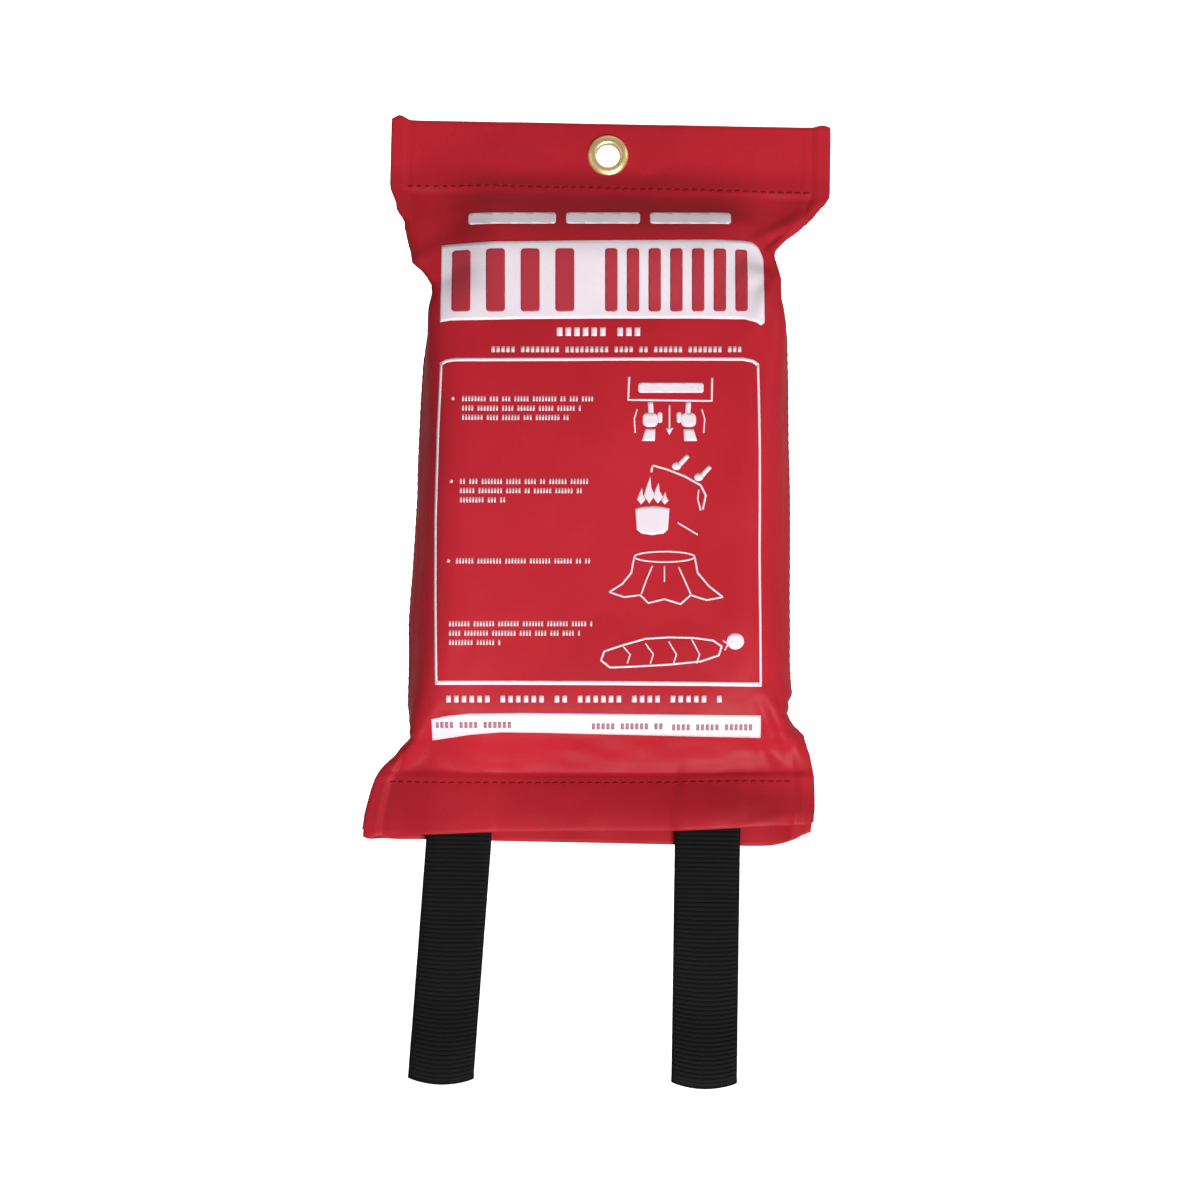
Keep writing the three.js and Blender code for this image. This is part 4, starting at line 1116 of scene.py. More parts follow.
# ---------------------------------------------------------------- eyelet and washer
def lathe(name, profile, segments=96):
    """A ring turned about the eyelet's axis from a closed profile of (radius, y) points."""
    profile = np.array(profile, float)
    for _ in range(2):                                # rounds the profile's corners
        after = np.roll(profile, -1, 0)
        profile = np.stack([0.75 * profile + 0.25 * after, 0.25 * profile + 0.75 * after], 1)
        profile = profile.reshape(-1, 2)
    count = len(profile)
    verts, faces = [], []
    for k in range(segments):
        angle = 2 * math.pi * k / segments
        verts += [(EYE[0] + radius * math.cos(angle), SEAM_Y + y,
                   EYE[2] + radius * math.sin(angle)) for radius, y in profile]
        here, there = k * count, (k + 1) % segments * count
        for i in range(count):
            after = (i + 1) % count
            faces.append((here + i, here + after, there + after, there + i))
    ring = mesh_object(name, verts, faces)
    face_outward(ring)
    return ring


face_y, rear_y = [on_skin(EYE[0] + 6.6, EYE[2], side)[0][1] - SEAM_Y for side in (-1, 1)]
eyelet = lathe("eyelet_rim", [
    (4.45, face_y - 0.8), (4.75, face_y - 1.25), (5.5, face_y - 1.5), (6.5, face_y - 1.35),
    (7.35, face_y - 0.9), (7.8, face_y - 0.3), (7.75, face_y - 0.02), (7.2, face_y - 0.02),
    (5.3, face_y - 0.02), (5.02, face_y + 0.3), (5.02, rear_y + 0.4), (5.3, rear_y + 0.72),
    (6.2, rear_y + 0.74), (6.5, rear_y + 1.05), (6.1, rear_y + 1.5), (5.4, rear_y + 1.65),
    (4.7, rear_y + 1.4), (4.45, rear_y + 0.9)])
washer = lathe("eyelet_back_washer", [
    (5.25, rear_y + 0.04), (7.3, rear_y + 0.04), (7.6, rear_y + 0.2), (7.5, rear_y + 0.5),
    (7.0, rear_y + 0.68), (5.4, rear_y + 0.66), (5.2, rear_y + 0.4)])
place(eyelet, BRASS, "eyelet_brass", ("eyelet",), "pouch")
place(washer, BRASS, "eyelet_brass", ("eyelet_washer",), "pouch")


# ---------------------------------------------------------------- hook-and-loop tapes
def tape(node, material, body):
    low, high = box_mm(node)
    middle = (low + high) / 2
    shape = (60, 15)
    u = np.linspace(-1, 1, shape[0])[:, None]
    v = np.linspace(-1, 1, shape[1])[None, :]
    grid = np.zeros((*shape, 3))
    grid[..., 0] = middle[0] + u * (high[0] - low[0]) / 2
    grid[..., 2] = middle[2] + v * (high[2] - low[2]) / 2 * (1 - 0.04 * u ** 8)
    grid[..., 1] = middle[1] + value_noise(np.random.default_rng(15), shape, (20, 5)) * 0.06
    normal = np.zeros_like(grid)
    normal[..., 1] = -1
    place(thick_sheet(node + "_strip", grid, normal, 1.15), material, node, (node,), body)


tape("loop_tape", LOOP_NAP, "front_lip")
tape("hook_tape", HOOK_NAP, "pouch")

# ---------------------------------------------------------------- folded blanket
# The blanket is a strip of three layers folded up and down, its pleats running back to front.
PLEATS, LAYERS = 6, 3
POCKET, PLEAT_GAP = 4.4, 0.4          # the wide gap in the middle and the narrow ones
PLEAT = (2 * BLOCK_DEPTH - POCKET - PLEAT_GAP * (PLEATS - 2)) / PLEATS
LAYER = PLEAT / LAYERS
pleat_y = []
pleat_back = BLOCK_Y + BLOCK_DEPTH
for i in range(PLEATS):
    pleat_y.append(pleat_back - PLEAT / 2)
    pleat_back -= PLEAT + (POCKET if i == PLEATS // 2 - 1 else PLEAT_GAP)


def block_depth(x):
    """Half depth of the bundle at each x, a little inside its rounded outline."""
    past = np.maximum(0, np.abs(x) - (BUNDLE_HALF[0] - BUNDLE_RADIUS))
    round_part = np.sqrt(np.maximum(0, BUNDLE_RADIUS ** 2 - past ** 2))
    return BUNDLE_HALF[1] - BUNDLE_RADIUS + round_part - 0.55


def end_z(y, top):
    share = abs(y - BLOCK_Y) / BLOCK_DEPTH
    if top:
        return BLOCK_TOP - 0.6 - 7.0 * share ** 3
    return BLOCK_BOTTOM + 0.6 + 6.0 * share ** 3


def winding(offset):
    """Middle line, in Y and Z, of one layer of the up-and-down folded strip."""
    squash = 0.92
    corners = [(pleat_y[0] + offset, end_z(pleat_y[0], False) + 2.2)]
    sign = 1
    for i in range(PLEATS - 1):
        top = i % 2 == 0
        upward = 1 if top else -1
        middle, radius = (pleat_y[i] + pleat_y[i + 1]) / 2, (pleat_y[i] - pleat_y[i + 1]) / 2
        outer = (pleat_y[i] - pleat_y[i + 1] + PLEAT) / 2
        centre_z = end_z(middle, top) - upward * outer * squash
        reach = radius + sign * offset
        for k in range(13):
            angle = math.pi * k / 12
            corners.append((middle + reach * math.cos(angle),
                            centre_z + upward * reach * math.sin(angle) * squash))
        sign = -sign
    corners.append((pleat_y[-1] + sign * offset, end_z(pleat_y[-1], False) + 2.2))
    line = [corners[0]]
    for corner in corners[1:]:                        # extra points along the straight runs
        last = line[-1]
        count = max(1, int(math.dist(last, corner) // 6))
        line += [(last[0] + (corner[0] - last[0]) * k / count,
                  last[1] + (corner[1] - last[1]) * k / count) for k in range(1, count + 1)]
    return np.array(line)


def blanket_layer(number, rng):
    """Vertices, faces and UVs of one layer."""
    line = winding((number - (LAYERS - 1) / 2) * LAYER)
    run = np.concatenate([[0], np.cumsum(np.linalg.norm(np.diff(line, axis=0), axis=1))])
    half = 61.9 - 0.25 * number
    columns = -np.cos(np.linspace(0, math.pi, 35))
    wobble_left, wobble_right = [
        np.interp(run, np.linspace(0, run[-1], 40), rng.normal(size=40) * 0.35)
        for _ in range(2)]
    core = POCKET / 2
    grid = np.zeros((len(columns), len(line), 3))
    for i, u in enumerate(columns):
        x = u * half + BLOCK_X + (wobble_left if u < 0 else wobble_right) * abs(u) ** 6
        depth = line[:, 0] - BLOCK_Y
        squeeze = (block_depth(u * 62.5) - core) / (BLOCK_DEPTH - core)
        squeezed = np.where(np.abs(depth) <= core, depth,
                            np.sign(depth) * (core + (np.abs(depth) - core) * squeeze))
        grid[i, :, 0] = x
        grid[i, :, 1] = BLOCK_Y + squeezed * 0.992
        grid[i, :, 2] = line[:, 1] * (1 - 0.018 * abs(u) ** 5) + BLOCK_SHEAR * x + BLOCK_Z
    grid[..., 1] += value_noise(rng, grid.shape[:2], (7, 60)) * 0.10
    thin = np.clip(block_depth(columns * 62.5) / BLOCK_DEPTH, 0.55, 1)[:, None]
    uv = spread((columns * half)[:, None], run[None, :])
    return sheet_shell(grid, grid_normals(grid), LAYER * 0.86 * thin, uv, arcs=2)


def tuck(verts):
    """The bundle's upper corners are pressed in where the pouch is gathered round them."""
    for sign, edge in ((-1, 0), (1, -1)):
        seam = np.interp(verts[:, 2], front[edge, ::-1, 2], sign * front[edge, ::-1, 0])
        out = np.clip(sign * verts[:, 0] / 62.4, 0, None)
        verts[:, 0] -= sign * np.maximum(0, 62.9 - (seam - 3.6)) * out ** 3 \
            * ease(58, 72, verts[:, 2]) * (sign * verts[:, 0] > 0)
    return verts


def folded_blanket():
    rng = np.random.default_rng(7)
    verts, faces, uvs = [], [], []
    for number in range(LAYERS):
        layer_verts, layer_faces, layer_uv = blanket_layer(number, rng)
        faces += [tuple(i + len(verts) for i in face) for face in layer_faces]
        verts += list(layer_verts)
        uvs += list(layer_uv)
    cloth = mesh_object("folded_blanket_cloth", tuck(np.array(verts)), faces, True, uvs)
    place(cloth, GLASS_CLOTH, "glass_fibre_blanket", ("folded_blanket",), "blanket")


folded_blanket()

# ---------------------------------------------------------------- pull straps
STRAP_THICK, SLIT = 1.3, 0.34         # webbing, and the gap between the two plies
STRAP_HALF = 12.55
STRAP_TOP = -47.0
FOLD_RADIUS = 2.15
STRAP_Y = STRAP_PIVOT[1]
# across the strap: place from -1 to 1, share of the thickness; the selvedges are thinner
STRAP_SECTION = [(-1, 0.62), (-0.96, 0.86), (-0.86, 1), (-0.66, 1), (-0.44, 1), (-0.22, 1),
                 (0, 1), (0.22, 1), (0.44, 1), (0.66, 1), (0.86, 1), (0.96, 0.86), (1, 0.62)]


def strap_grid(side, across, seed):
    """Middle surface of the loop: sewn top, front ply, lower fold, back ply."""
    rng = np.random.default_rng(seed)
    bottom = STRAPS[side][3]
    half = (STRAP_THICK + SLIT) / 2
    heights = np.concatenate([
        np.arange(STRAP_TOP, -128, -2.6), np.arange(-128, -142, -0.9),
        np.arange(-142, bottom + 7, -2.2)])
    knots = np.concatenate([rng.normal(size=5) * 0.5, [0]])
    wave = np.interp(heights, np.linspace(bottom, -136, 6), knots) * ease(-136, -150, heights)
    parted = ease(bottom + 34, bottom + 6, heights)   # the plies part above the fold
    front_y = STRAP_Y - half - parted * (FOLD_RADIUS - half) + wave * 0.5
    back_y = STRAP_Y + half + parted * (FOLD_RADIUS - half) + wave * 0.5
    top = [(STRAP_Y + half * math.cos(math.pi * k / 4),
            STRAP_TOP + half * math.sin(math.pi * k / 4)) for k in range(5)]
    rows = []
    for u in across:
        sag = -2.4 * (1 - u * u)
        fold_z = bottom + FOLD_RADIUS + STRAP_THICK / 2 + sag
        z = np.where(heights < -150,
                     -150 + (heights + 150) * (fold_z + 150) / (heights[-1] + 150), heights)
        fold = []
        for k in range(1, 12):
            angle = math.pi * (1 + k / 12)
            fold.append((STRAP_Y + wave[-1] * 0.5 + FOLD_RADIUS * math.cos(angle),
                         fold_z + FOLD_RADIUS * math.sin(angle)))
        loop = np.array(top + list(zip(front_y[1:], z[1:])) + fold
                        + list(zip(back_y[:0:-1], z[:0:-1])))
        width = STRAP_HALF * (1 - 0.004 * rng.random(len(loop)))
        rows.append(np.column_stack([strap_x(loop[:, 1], side) + u * width, loop]))
    return np.array(rows)


def strap(side, seed):
    """A folded loop of webbing, closed all the way round."""
    section = np.array(STRAP_SECTION, float)
    grid = strap_grid(side, section[:, 0], seed)
    columns, rows = grid.shape[:2]
    around = np.roll(grid, -1, 1) - np.roll(grid, 1, 1)
    normal = np.cross(np.gradient(grid, axis=0), around)
    normal /= np.linalg.norm(normal, axis=-1, keepdims=True) + 1e-12
    thick = STRAP_THICK * section[:, 1][:, None, None]
    steps = np.linalg.norm(np.diff(grid, axis=1), axis=2)
    run = np.concatenate([np.zeros((columns, 1)), np.cumsum(steps, axis=1)], 1).mean(0)
    verts = np.concatenate([(grid + normal * thick / 2).reshape(-1, 3),
                            (grid - normal * thick / 2).reshape(-1, 3)])
    uv = spread((section[:, 0] * STRAP_HALF)[:, None], run[None, :]).reshape(-1, 2)
    count = columns * rows
    faces = []
    for i in range(columns - 1):
        for j in range(rows):
            after = (j + 1) % rows
            a, b = i * rows + j, (i + 1) * rows + j
            c, d = (i + 1) * rows + after, i * rows + after
            faces.append((a, b, c, d))
            faces.append((a + count, d + count, c + count, b + count))
    for i in (0, columns - 1):
        for j in range(rows):
            a, b = i * rows + j, i * rows + (j + 1) % rows
            quad = (a, b, b + count, a + count)
            faces.append(quad if i == 0 else quad[::-1])
    piece = mesh_object(f"{side}_pull_strap", verts, faces, True, np.concatenate([uv, uv]))
    face_outward(piece)
    place(piece, WEBBING, "webbing_black",
          (f"{side}_strap_sewn_end", f"{side}_strap_hanging_loop"))
    blend_with(piece,
               lambda points: ease(132.2, 137.2, -points[:, 2]))


def strap_sewing(side):
    """A crossed box of stitches and, below it, a zigzag bar tack."""
    middle = STRAPS[side][0]
    face = STRAP_Y - SLIT / 2 - STRAP_THICK
    left, right, low, high = middle - 9.5, middle + 9.5, -74.0, -52.0
    corners = [(left, low), (right, low), (right, high), (left, high), (left, low),
               (right, high), (right, low), (left, high)]
    path = []
    for a, b in zip(corners[:-1], corners[1:]):
        count = int(math.dist(a, b) // 0.8)
        path += [(a[0] + (b[0] - a[0]) * k / count, face - 0.02, a[1] + (b[1] - a[1]) * k / count)
                 for k in range(count)]
    box = stitches(f"{side}_box_stitches", path, (0, -1, 0), length=2.0, gap=0.6, radius=0.22)
    place(box, BLACK_THREAD, "thread_black", (f"{side}_strap_box_stitch",), "blanket")
    tack_x = middle - 0.2
    zigzag = [(tack_x - 10.5 + 21.0 * k / 57, face - 0.05, -91.5 + (1.3 if k % 2 else -1.3))
              for k in range(58)]
    tack = mesh_object(f"{side}_bar_tack_thread", *tube(zigzag, 0.24, (0, -1, 0)))
    place(tack, BLACK_THREAD, "thread_black", (f"{side}_strap_bar_tack",), "blanket")


strap("left", seed=3)
strap("right", seed=5)
strap_sewing("left")
strap_sewing("right")

# ---------------------------------------------------------------- print
# The outlines are cut into small faces on a flat sheet of its own unit and origin. Even shapes
# could be split along either diagonal, and this sheet settles which.
SHEET_UNIT = 0.38
SHEET_X, SHEET_Z = 600, 495
RIBBON_STEP = 1.52


def on_pouch(x, z):
    """X and Z on the pouch of a point in the print's frame."""
    x += PRINT_X
    return x * math.cos(ROLL) - z * math.sin(ROLL), x * math.sin(ROLL) + z * math.cos(ROLL)


def rounded(left, top, right, bottom, radius):
    points = []
    for x, z, start in (
            (right - radius, top - radius, -90), (right - radius, bottom + radius, 0),
            (left + radius, bottom + radius, 90), (left + radius, top - radius, 180)):
        for k in range(6):
            angle = math.radians(start + 90 * k / 5)
            points.append((x + radius * math.cos(angle), z - radius * math.sin(angle)))
    return points


def ellipse(x, z, radius_x, radius_z, count):
    angles = [math.radians(360 * k / count) for k in range(count)]
    return [(x + radius_x * math.cos(a), z - radius_z * math.sin(a)) for a in angles]


def ribbon(points, width, closed=False):
    """Quads along a polyline, short enough for the line to follow the fabric."""
    points = [np.array(point, float) for point in points]
    if closed:
        points = points + [points[0]]
    line = [points[0]]
    for a, b in zip(points[:-1], points[1:]):
        # the small addition keeps whole multiples of the step whole
        count = max(1, int((np.linalg.norm(b - a) + 1e-6) // RIBBON_STEP))
        line += [a + (b - a) * k / count for k in range(1, count + 1)]
    line = np.array(line)
    if closed:
        line = line[:-1]
        course = np.roll(line, -1, 0) - np.roll(line, 1, 0)
    else:
        course = np.gradient(line, axis=0)
    course /= np.linalg.norm(course, axis=1, keepdims=True) + 3.8e-10
    across = np.stack([course[:, 1], -course[:, 0]], 1)
    one, other = line + across * width / 2, line - across * width / 2
    size = len(line)
    pairs = [(i, (i + 1) % size) for i in range(size if closed else size - 1)]
    return [[one[i], one[j], other[j], other[i]] for i, j in pairs]


def tick_text(start, end, z, height, seed, tick=0.722, gap=0.437, longest=8):
    """A line of text shown only as upright ticks in word-like groups; it says nothing."""
    rng = np.random.default_rng(seed)
    top, bottom = z + height / 2, z - height / 2
    ticks, x = [], start
    while x < end - tick:
        for _ in range(int(rng.integers(2, longest + 1))):
            if x > end - tick:
                break
            ticks.append([(x, top), (x + tick, top), (x + tick, bottom), (x, bottom)])
            x += tick + gap
        x += tick + gap
    return ticks


def filled_between(top, bottom, stations, count):
    """Quads, `count` deep, between two lines of (x, z) points."""
    top, bottom = np.array(top, float), np.array(bottom, float)
    columns = []
    for x in stations:
        high, low = np.interp(x, top[:, 0], top[:, 1]), np.interp(x, bottom[:, 0], bottom[:, 1])
        columns.append([(x, high + (low - high) * k / count) for k in range(count + 1)])
    return [[a[k], b[k], b[k + 1], a[k + 1]]
            for a, b in zip(columns[:-1], columns[1:]) for k in range(count)]


def printed(name, outlines, material, lift=0.10, longest_edge=1.596):
    """Lays flat outlines on the front cover as a thin film of ink."""
    film = bmesh.new()
    for outline in outlines:
        film.faces.new([
            film.verts.new((SHEET_X + float(x) / SHEET_UNIT, SHEET_Z - float(z) / SHEET_UNIT, 0))
            for x, z in outline])
    bmesh.ops.remove_doubles(film, verts=film.verts, dist=0.02)

    def split_large_faces():
        bmesh.ops.triangulate(film, faces=[face for face in film.faces if len(face.verts) > 4])
    split_large_faces()
    for _ in range(6):
        long_edges = [edge for edge in film.edges
                      if edge.calc_length() > longest_edge / SHEET_UNIT]
        if not long_edges:
            break
        bmesh.ops.subdivide_edges(film, edges=long_edges, cuts=1, use_grid_fill=True)
        split_large_faces()
    for vert in film.verts:
        x, z = on_pouch((vert.co.x - SHEET_X) * SHEET_UNIT, (SHEET_Z - vert.co.y) * SHEET_UNIT)
        point, _ = on_skin(x, z, -1, lift)
        if point is None:
            point = np.array([x, SEAM_Y, z])
        vert.co = Vector(point * MM)
    bmesh.ops.recalc_face_normals(film, faces=film.faces)
    for face in film.faces:
        if face.normal.y > 0:
            face.normal_flip()
    mesh = bpy.data.meshes.new(name)
    film.to_mesh(mesh)
    film.free()
    mesh.polygons.foreach_set("use_smooth", [True] * len(mesh.polygons))
    piece = link_object(name, mesh)
    solid = piece.modifiers.new("film", "SOLIDIFY")
    solid.thickness, solid.offset = 0.04 * MM, -1
    place(piece, material, "pouch_fabric", body="pouch")


# From here on, points are (x, z) in the print's frame.
BAND_TOP = [
    (-60.42, 95.304), (-58.52, 95.532), (-56.24, 95.684), (-30.4, 95.912), (0, 96.216),
    (30.4, 96.444), (54.72, 96.596), (57.76, 96.14), (60.04, 94.62), (61.56, 91.58),
    (62.32, 88.54)]
BAND_BOTTOM = [
    (-60.42, 65.17), (-57, 65.74), (-30.4, 66.31), (0, 66.5), (38, 66.5), (54.72, 66.12),
    (58.9, 64.98), (60.8, 63.84), (62.32, 64.98)]
# bottom strip, dipping at its left end where the fabric rolls under
STRIP_TOP = [(-63.84, -85.12), (-58.52, -83.79), (-49.4, -82.84), (-30.4, -82.65),
             (7.6, -83.03), (60.8, -83.6)]
STRIP_BOTTOM = [(-63.46, -93.29), (-58.52, -92.53), (-49.4, -91.01), (-38, -90.06),
                (-22.8, -90.25), (15.2, -91.2), (60.8, -92.34)]


def title_band():
    """A white band with plain bars in place of its words."""
    stations = np.concatenate([
        np.linspace(-60.42, -56.24, 7), np.arange(-55.1, 54.72, 1.216),
        np.linspace(55.1, 62.13, 12)])
    printed("print_title_band", filled_between(BAND_TOP, BAND_BOTTOM, stations, 22),
            WHITE_INK, lift=0.15)
    bars = []
    # first bar's left, pitch, width, corner radius, count
    for start, pitch, width, radius, count in (
            (-56.24, 13.11, 7.22, 1.33, 4), (1.9, 8.208, 4.75, 1.14, 7)):
        for k in range(count):
            left = start + pitch * k
            bars.append(rounded(left, 93.1, left + width, 69.16, radius))
    printed("print_title_bars", bars, RED_INK, lift=0.21)


def instruction_frame():
    """Four plain lines round the panel: left, right, top and bottom."""
    lines = ribbon([(-59.964, 49.21), (-61.18, 24.7), (-62.168, -9.5), (-62.244, -39.9),
                    (-61.864, -70.68)], 0.95)
    lines += ribbon([(59.66, 48.83), (60.268, 17.1), (60.268, -24.7), (60.8, -71.82)], 0.874)
    lines += ribbon([(-60.344, 49.172), (-58.14, 50.388), (-54.72, 50.844), (-30.4, 50.996),
                     (0, 51.148), (34.2, 51.224), (53.96, 51.072), (57.76, 50.312),
                     (59.888, 48.64)], 1.254)
    lines += ribbon([(-62.32, -71.136), (-38, -71.136), (0, -71.288), (38, -71.592),
                     (61.18, -71.896)], 1.596)
    printed("print_frame", lines, WHITE_INK)


def texts():
    words = [rounded(left, 107.54, right, 102.98, 1.14)
             for left, right in ((-50.16, -16.72), (-12.92, 15.2), (19, 49.78))]
    words += tick_text(-16.34, 18.24, 61.56, 3.268, seed=2, tick=2.128, gap=1.14, longest=6)
    words += tick_text(-58.14, 46.36, -77.33, 2.584, seed=5, tick=1.748, gap=1.178, longest=7)
    printed("print_word_bars", words, WHITE_INK)
    lines = tick_text(-41.04, 53.96, 54.872, 2.28, seed=9, tick=1.292, gap=0.57, longest=9)
    # lines of the four captions: start x, end x, z, seed
    for start, end, z, seed in (
            (-52.06, -1.52, 36.176, 20), (-52.06, -6.46, 32.604, 21), (-52.06, -11.4, 29.108, 22),
            (-52.82, -3.04, 4.94, 30), (-52.82, -6.08, 1.444, 31), (-52.82, -34.96, -2.052, 32),
            (-54.34, -3.04, -25.08, 41), (-57, -2.28, -48.792, 50), (-57, -6.84, -52.364, 51),
            (-57, -37.24, -55.86, 52)):
        lines += tick_text(start, end, z, 2.052, seed)
    for x, z in ((-55.48, 36.176), (-56.05, 4.94), (-57.19, -25.08)):
        lines.append(ellipse(x, z, 0.646, 0.722, 12))
    printed("print_small_text_ticks", lines, THIN_INK, longest_edge=3.04)


def bottom_strip():
    stations = np.arange(-63.84, 61.37, 1.178)
    printed("print_bottom_strip", filled_between(STRIP_TOP, STRIP_BOTTOM, stations, 7), WHITE_INK)
    marks = []
    for start, end, z, seed, longest in (
            (-62.32, -32.68, -87.21, 61, 7), (-3.04, 24.32, -87.78, 62, 9),
            (27.36, 57.761, -88.16, 63, 7)):
        marks += tick_text(start, end, z, 2.28, seed, tick=1.216, gap=0.608, longest=longest)
    printed("print_strip_marks", marks, GREY_INK, lift=0.16)


def pulling_the_straps():
    """The pouch mouth, its two straps and mittens pulling down."""
    shapes = ribbon([(11.02, 44.46), (10.64, 35.72), (42.18, 35.34), (42.37, 44.08)], 0.76)
    shapes.append(rounded(14.44, 42.18, 39.14, 38.38, 0.95))
    for x, sign in ((19, -1), (33.44, 1)):
        lean, thumb, cuff = 0.38 * sign, x - sign * 3.61, x + sign * 0.76
        shapes += [
            [(x - 0.988, 34.96), (x + 0.988, 34.96), (x + 0.988 - lean, 29.64),
             (x - 0.988 - lean, 29.64)],
            rounded(x - 2.85, 30.78, x + 2.85, 25.46, 1.9),
            rounded(thumb - 0.912, 31.16, thumb + 0.912, 26.98, 0.836),
            [(x - 1.9, 24.7), (x + 1.9, 24.7), (cuff + 2.47, 20.14), (cuff - 2.47, 20.14)]]
        shapes += ribbon([(x + sign * 4.94, 32.3), (x + sign * 6.08, 28.5),
                          (x + sign * 5.7, 23.18)], 0.532)
    shapes += ribbon([(26.22, 33.82), (26.22, 24.7)], 0.608)
    shapes.append([(24.7, 25.08), (27.74, 25.08), (26.22, 22.42)])
    return shapes


def burning_pot():
    """A burning pot and a cloth held up before it."""
    rim = [(13.3 + 12.92 * k / 10, -5.32 + 0.912 * math.sin(math.pi * k / 10))
           for k in range(10)]
    shapes = [rim + [(26.22, -5.32), (25.65, -13.3), (23.94, -14.82), (19.76, -15.39),
                     (15.58, -14.82), (13.87, -13.3)]]
    # flames: foot x, foot z, width, height
    for x, z, width, height in ((15.58, -3.8, 1.596, 6.46), (18.62, -3.42, 2.052, 10.26),
                                (21.85, -3.42, 1.9, 7.98), (24.51, -3.8, 1.368, 4.94)):
        flame = ((0, 0), (-1, 0.28), (-0.55, 0.62), (0.2, 1), (0.35, 0.6), (1, 0.3))
        shapes.append([(x + width * across, z + height * up) for across, up in flame])
    shapes += ribbon([(19.76, 11.02), (25.08, 9.5), (31.92, 6.84), (38, 3.42), (39.9, -0.38),
                      (38.76, -5.7)], 0.76)
    shapes += ribbon([(19.76, 11.02), (19.38, 8.36)], 0.76)
    shapes += ribbon([(37.24, 1.9), (36.86, -1.9), (38, -6.08)], 0.57)
    for x, z in ((28.88, 10.64), (37.24, 6.46)):
        shapes += [ellipse(x, z, 1.748, 1.52, 14),
                   [(x + 0.76, z + 1.52), (x + 3.8, z + 4.56), (x + 4.94, z + 3.42),
                    (x + 1.9, z)]]
    return shapes + ribbon([(29.26, -10.64), (36.86, -15.2)], 0.608)


def covered_pot():
    """The cloth lying over the pot."""
    shapes = ribbon(ellipse(24.32, -23.56, 11.4, 1.976, 30), 0.608, closed=True)
    for points, width in (
            ([(12.92, -23.56), (11.78, -29.64), (8.36, -33.82), (3.42, -36.86)], 0.684),
            ([(35.72, -23.56), (36.86, -29.64), (41.04, -34.58), (46.36, -38.76)], 0.684),
            ([(3.42, -36.86), (9.12, -38.76), (15.2, -38), (18.24, -41.04), (24.32, -39.52),
              (30.4, -41.42), (34.2, -38), (40.28, -39.9), (46.36, -38.76)], 0.684),
            ([(19.76, -26.98), (17.48, -32.3), (15.58, -37.62)], 0.57),
            ([(29.64, -27.36), (31.92, -32.3), (34.2, -37.62)], 0.57),
            ([(24.32, -26.98), (24.32, -33.06)], 0.494)):
        shapes += ribbon(points, width)
    return shapes


def wrapped_person():
    """Someone wrapped up, lying down."""
    shapes = ribbon([
        (1.52, -59.28), (8.36, -57), (17.1, -54.53), (25.84, -53.96), (34.96, -54.15),
        (42.56, -55.1), (45.98, -57.38), (44.84, -60.8), (38, -63.08), (26.6, -64.22),
        (13.68, -64.98), (3.8, -65.36), (0.38, -62.7)], 0.76, closed=True)
    shapes.append(ellipse(51.11, -55.48, 3.268, 3.116, 24))
    shapes += ribbon([(46.36, -55.1), (48.26, -56.62), (47.12, -58.9)], 0.57)
    for x in (8.36, 17.1, 25.84, 34.58):
        shapes += ribbon([(x, -57 + (x - 8.36) * 0.09), (x + 3.04, -60.42), (x + 1.9, -63.84)],
                         0.532)
    return shapes


title_band()
instruction_frame()
texts()
bottom_strip()
printed("print_pictograms", pulling_the_straps() + burning_pot() + covered_pot()
        + wrapped_person(), WHITE_INK)

# blend weights for the lip and the thread sewn to it are worked out, but not applied
blend_lip(front_cover)
blend_lip(front_lip_thread)
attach(back_cover, "pouch")


# ---------------------------------------------------------------- studio, in metres
def floor_material():
    s = Shader("studio_pale")
    seen = s.add("LightPath").outputs["Is Camera Ray"]
    # dimmer in bounced light, so dark colours stay deep
    tone = s.mix(s.calc("SUBTRACT", 1.0, seen), (0.88, 0.88, 0.88), (0.30, 0.30, 0.30))
    matt = s.add("BsdfDiffuse", {"Color": tone}).outputs["BSDF"]
    glow = s.add("Emission", {
        "Color": (1, 1, 1, 1), "Strength": s.calc("MULTIPLY", seen, 0.55)}).outputs[0]
    return s.finish(s.add("AddShader", {0: matt, 1: glow}).outputs[0])


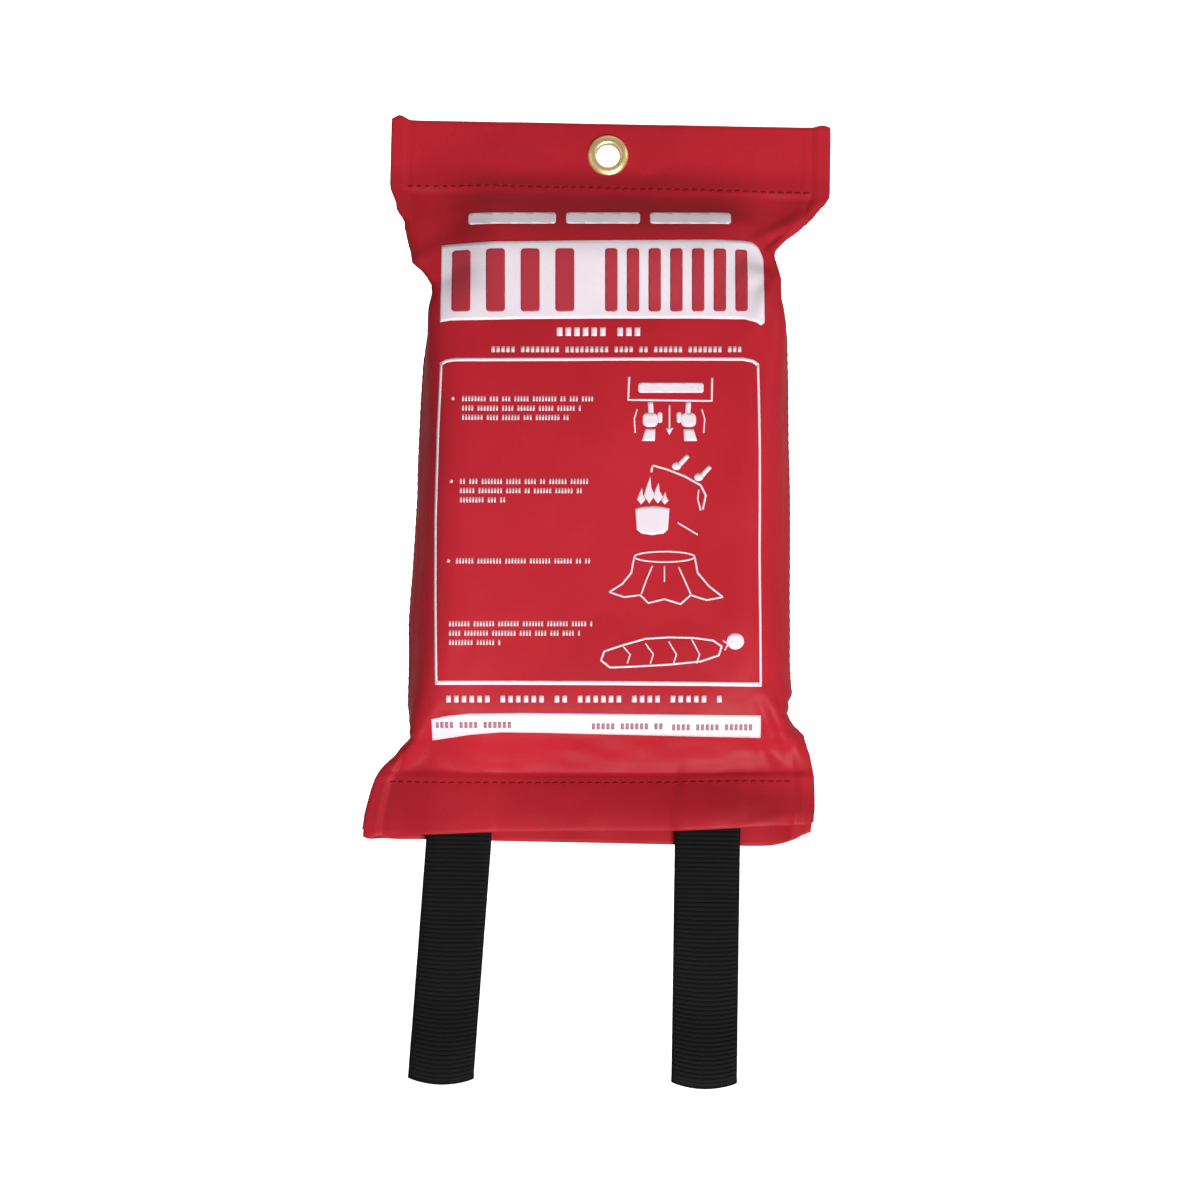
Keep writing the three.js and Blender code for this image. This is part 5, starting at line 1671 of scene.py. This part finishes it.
def backdrop():
    """A wide pale floor whose rim sweeps up all round."""
    segments, floor_z, flat_radius, sweep, top = 96, -1.75, 2.0, 0.9, 4.3
    profile = [(1.2, 0.0), (flat_radius, 0.0)]
    for k in range(1, 13):
        angle = math.pi / 2 * k / 12
        profile.append((flat_radius + sweep * math.sin(angle), sweep - sweep * math.cos(angle)))
    profile.append((flat_radius + sweep, top))
    verts = [(0, 0, floor_z)]
    for radius, z in profile:
        for k in range(segments):
            angle = 2 * math.pi * k / segments
            verts.append((radius * math.cos(angle), radius * math.sin(angle), floor_z + z))
    faces = [(0, 1 + k, 1 + (k + 1) % segments) for k in range(segments)]
    for i in range(len(profile) - 1):
        for k in range(segments):
            a, b = 1 + i * segments + k, 1 + i * segments + (k + 1) % segments
            faces.append((a, a + segments, b + segments, b))
    mesh = bpy.data.meshes.new("studio_floor")
    mesh.from_pydata(verts, [], faces)
    mesh.polygons.foreach_set("use_smooth", [True] * len(mesh.polygons))
    studio_floor = link_object("studio_floor", mesh)
    mesh.materials.append(floor_material())


def area_light(name, location, size, power, target=(0, 0, 0)):
    light = bpy.data.lights.new(name, "AREA")
    light.shape, light.energy = "RECTANGLE", power
    light.size, light.size_y = size
    lamp = link_object(name, light)
    lamp.location = location
    aim = Vector(target) - Vector(location)
    lamp.rotation_euler = aim.to_track_quat("-Z", "Y").to_euler()


def add_camera():
    """Square to the pouch and rolled with the print, its view as wide as view_width."""
    lens, sensor, view_width = 100, 36, 456.0
    camera_data = bpy.data.cameras.new("camera")
    camera = link_object("camera", camera_data)
    camera_data.lens, camera_data.sensor_width = lens, sensor
    x, z = on_pouch(0, -39.9)
    distance = lens / sensor * view_width * MM
    camera.location = (x * MM, SEAM_Y * MM - 0.012 - distance, z * MM)
    camera.rotation_euler = (math.radians(90), -ROLL, 0)
    bpy.context.scene.camera = camera


backdrop()
area_light("key", (0.55, -1.62, -1.34), size=(1.0, 1.0), power=55)
area_light("side", (-1.2, -1.1, 0.1), size=(0.8, 0.8), power=2.6)
area_light("rim", (1.3, -0.5, 0.45), size=(0.6, 0.6), power=3.0)
area_light("top", (0.0, 0.3, 1.9), size=(1.8, 1.8), power=2.5)
area_light("wash", (0.0, 0.8, 2.1), size=(2.6, 0.8), power=95, target=(0, 3.0, -0.9))
world = bpy.data.worlds.new("studio")
bpy.context.scene.world = world
world.use_nodes = True
background = world.node_tree.nodes["Background"]
background.inputs["Color"].default_value = (1, 1, 1, 1)
background.inputs["Strength"].default_value = 0.5
bpy.context.scene.view_settings.view_transform = "Standard"
add_camera()
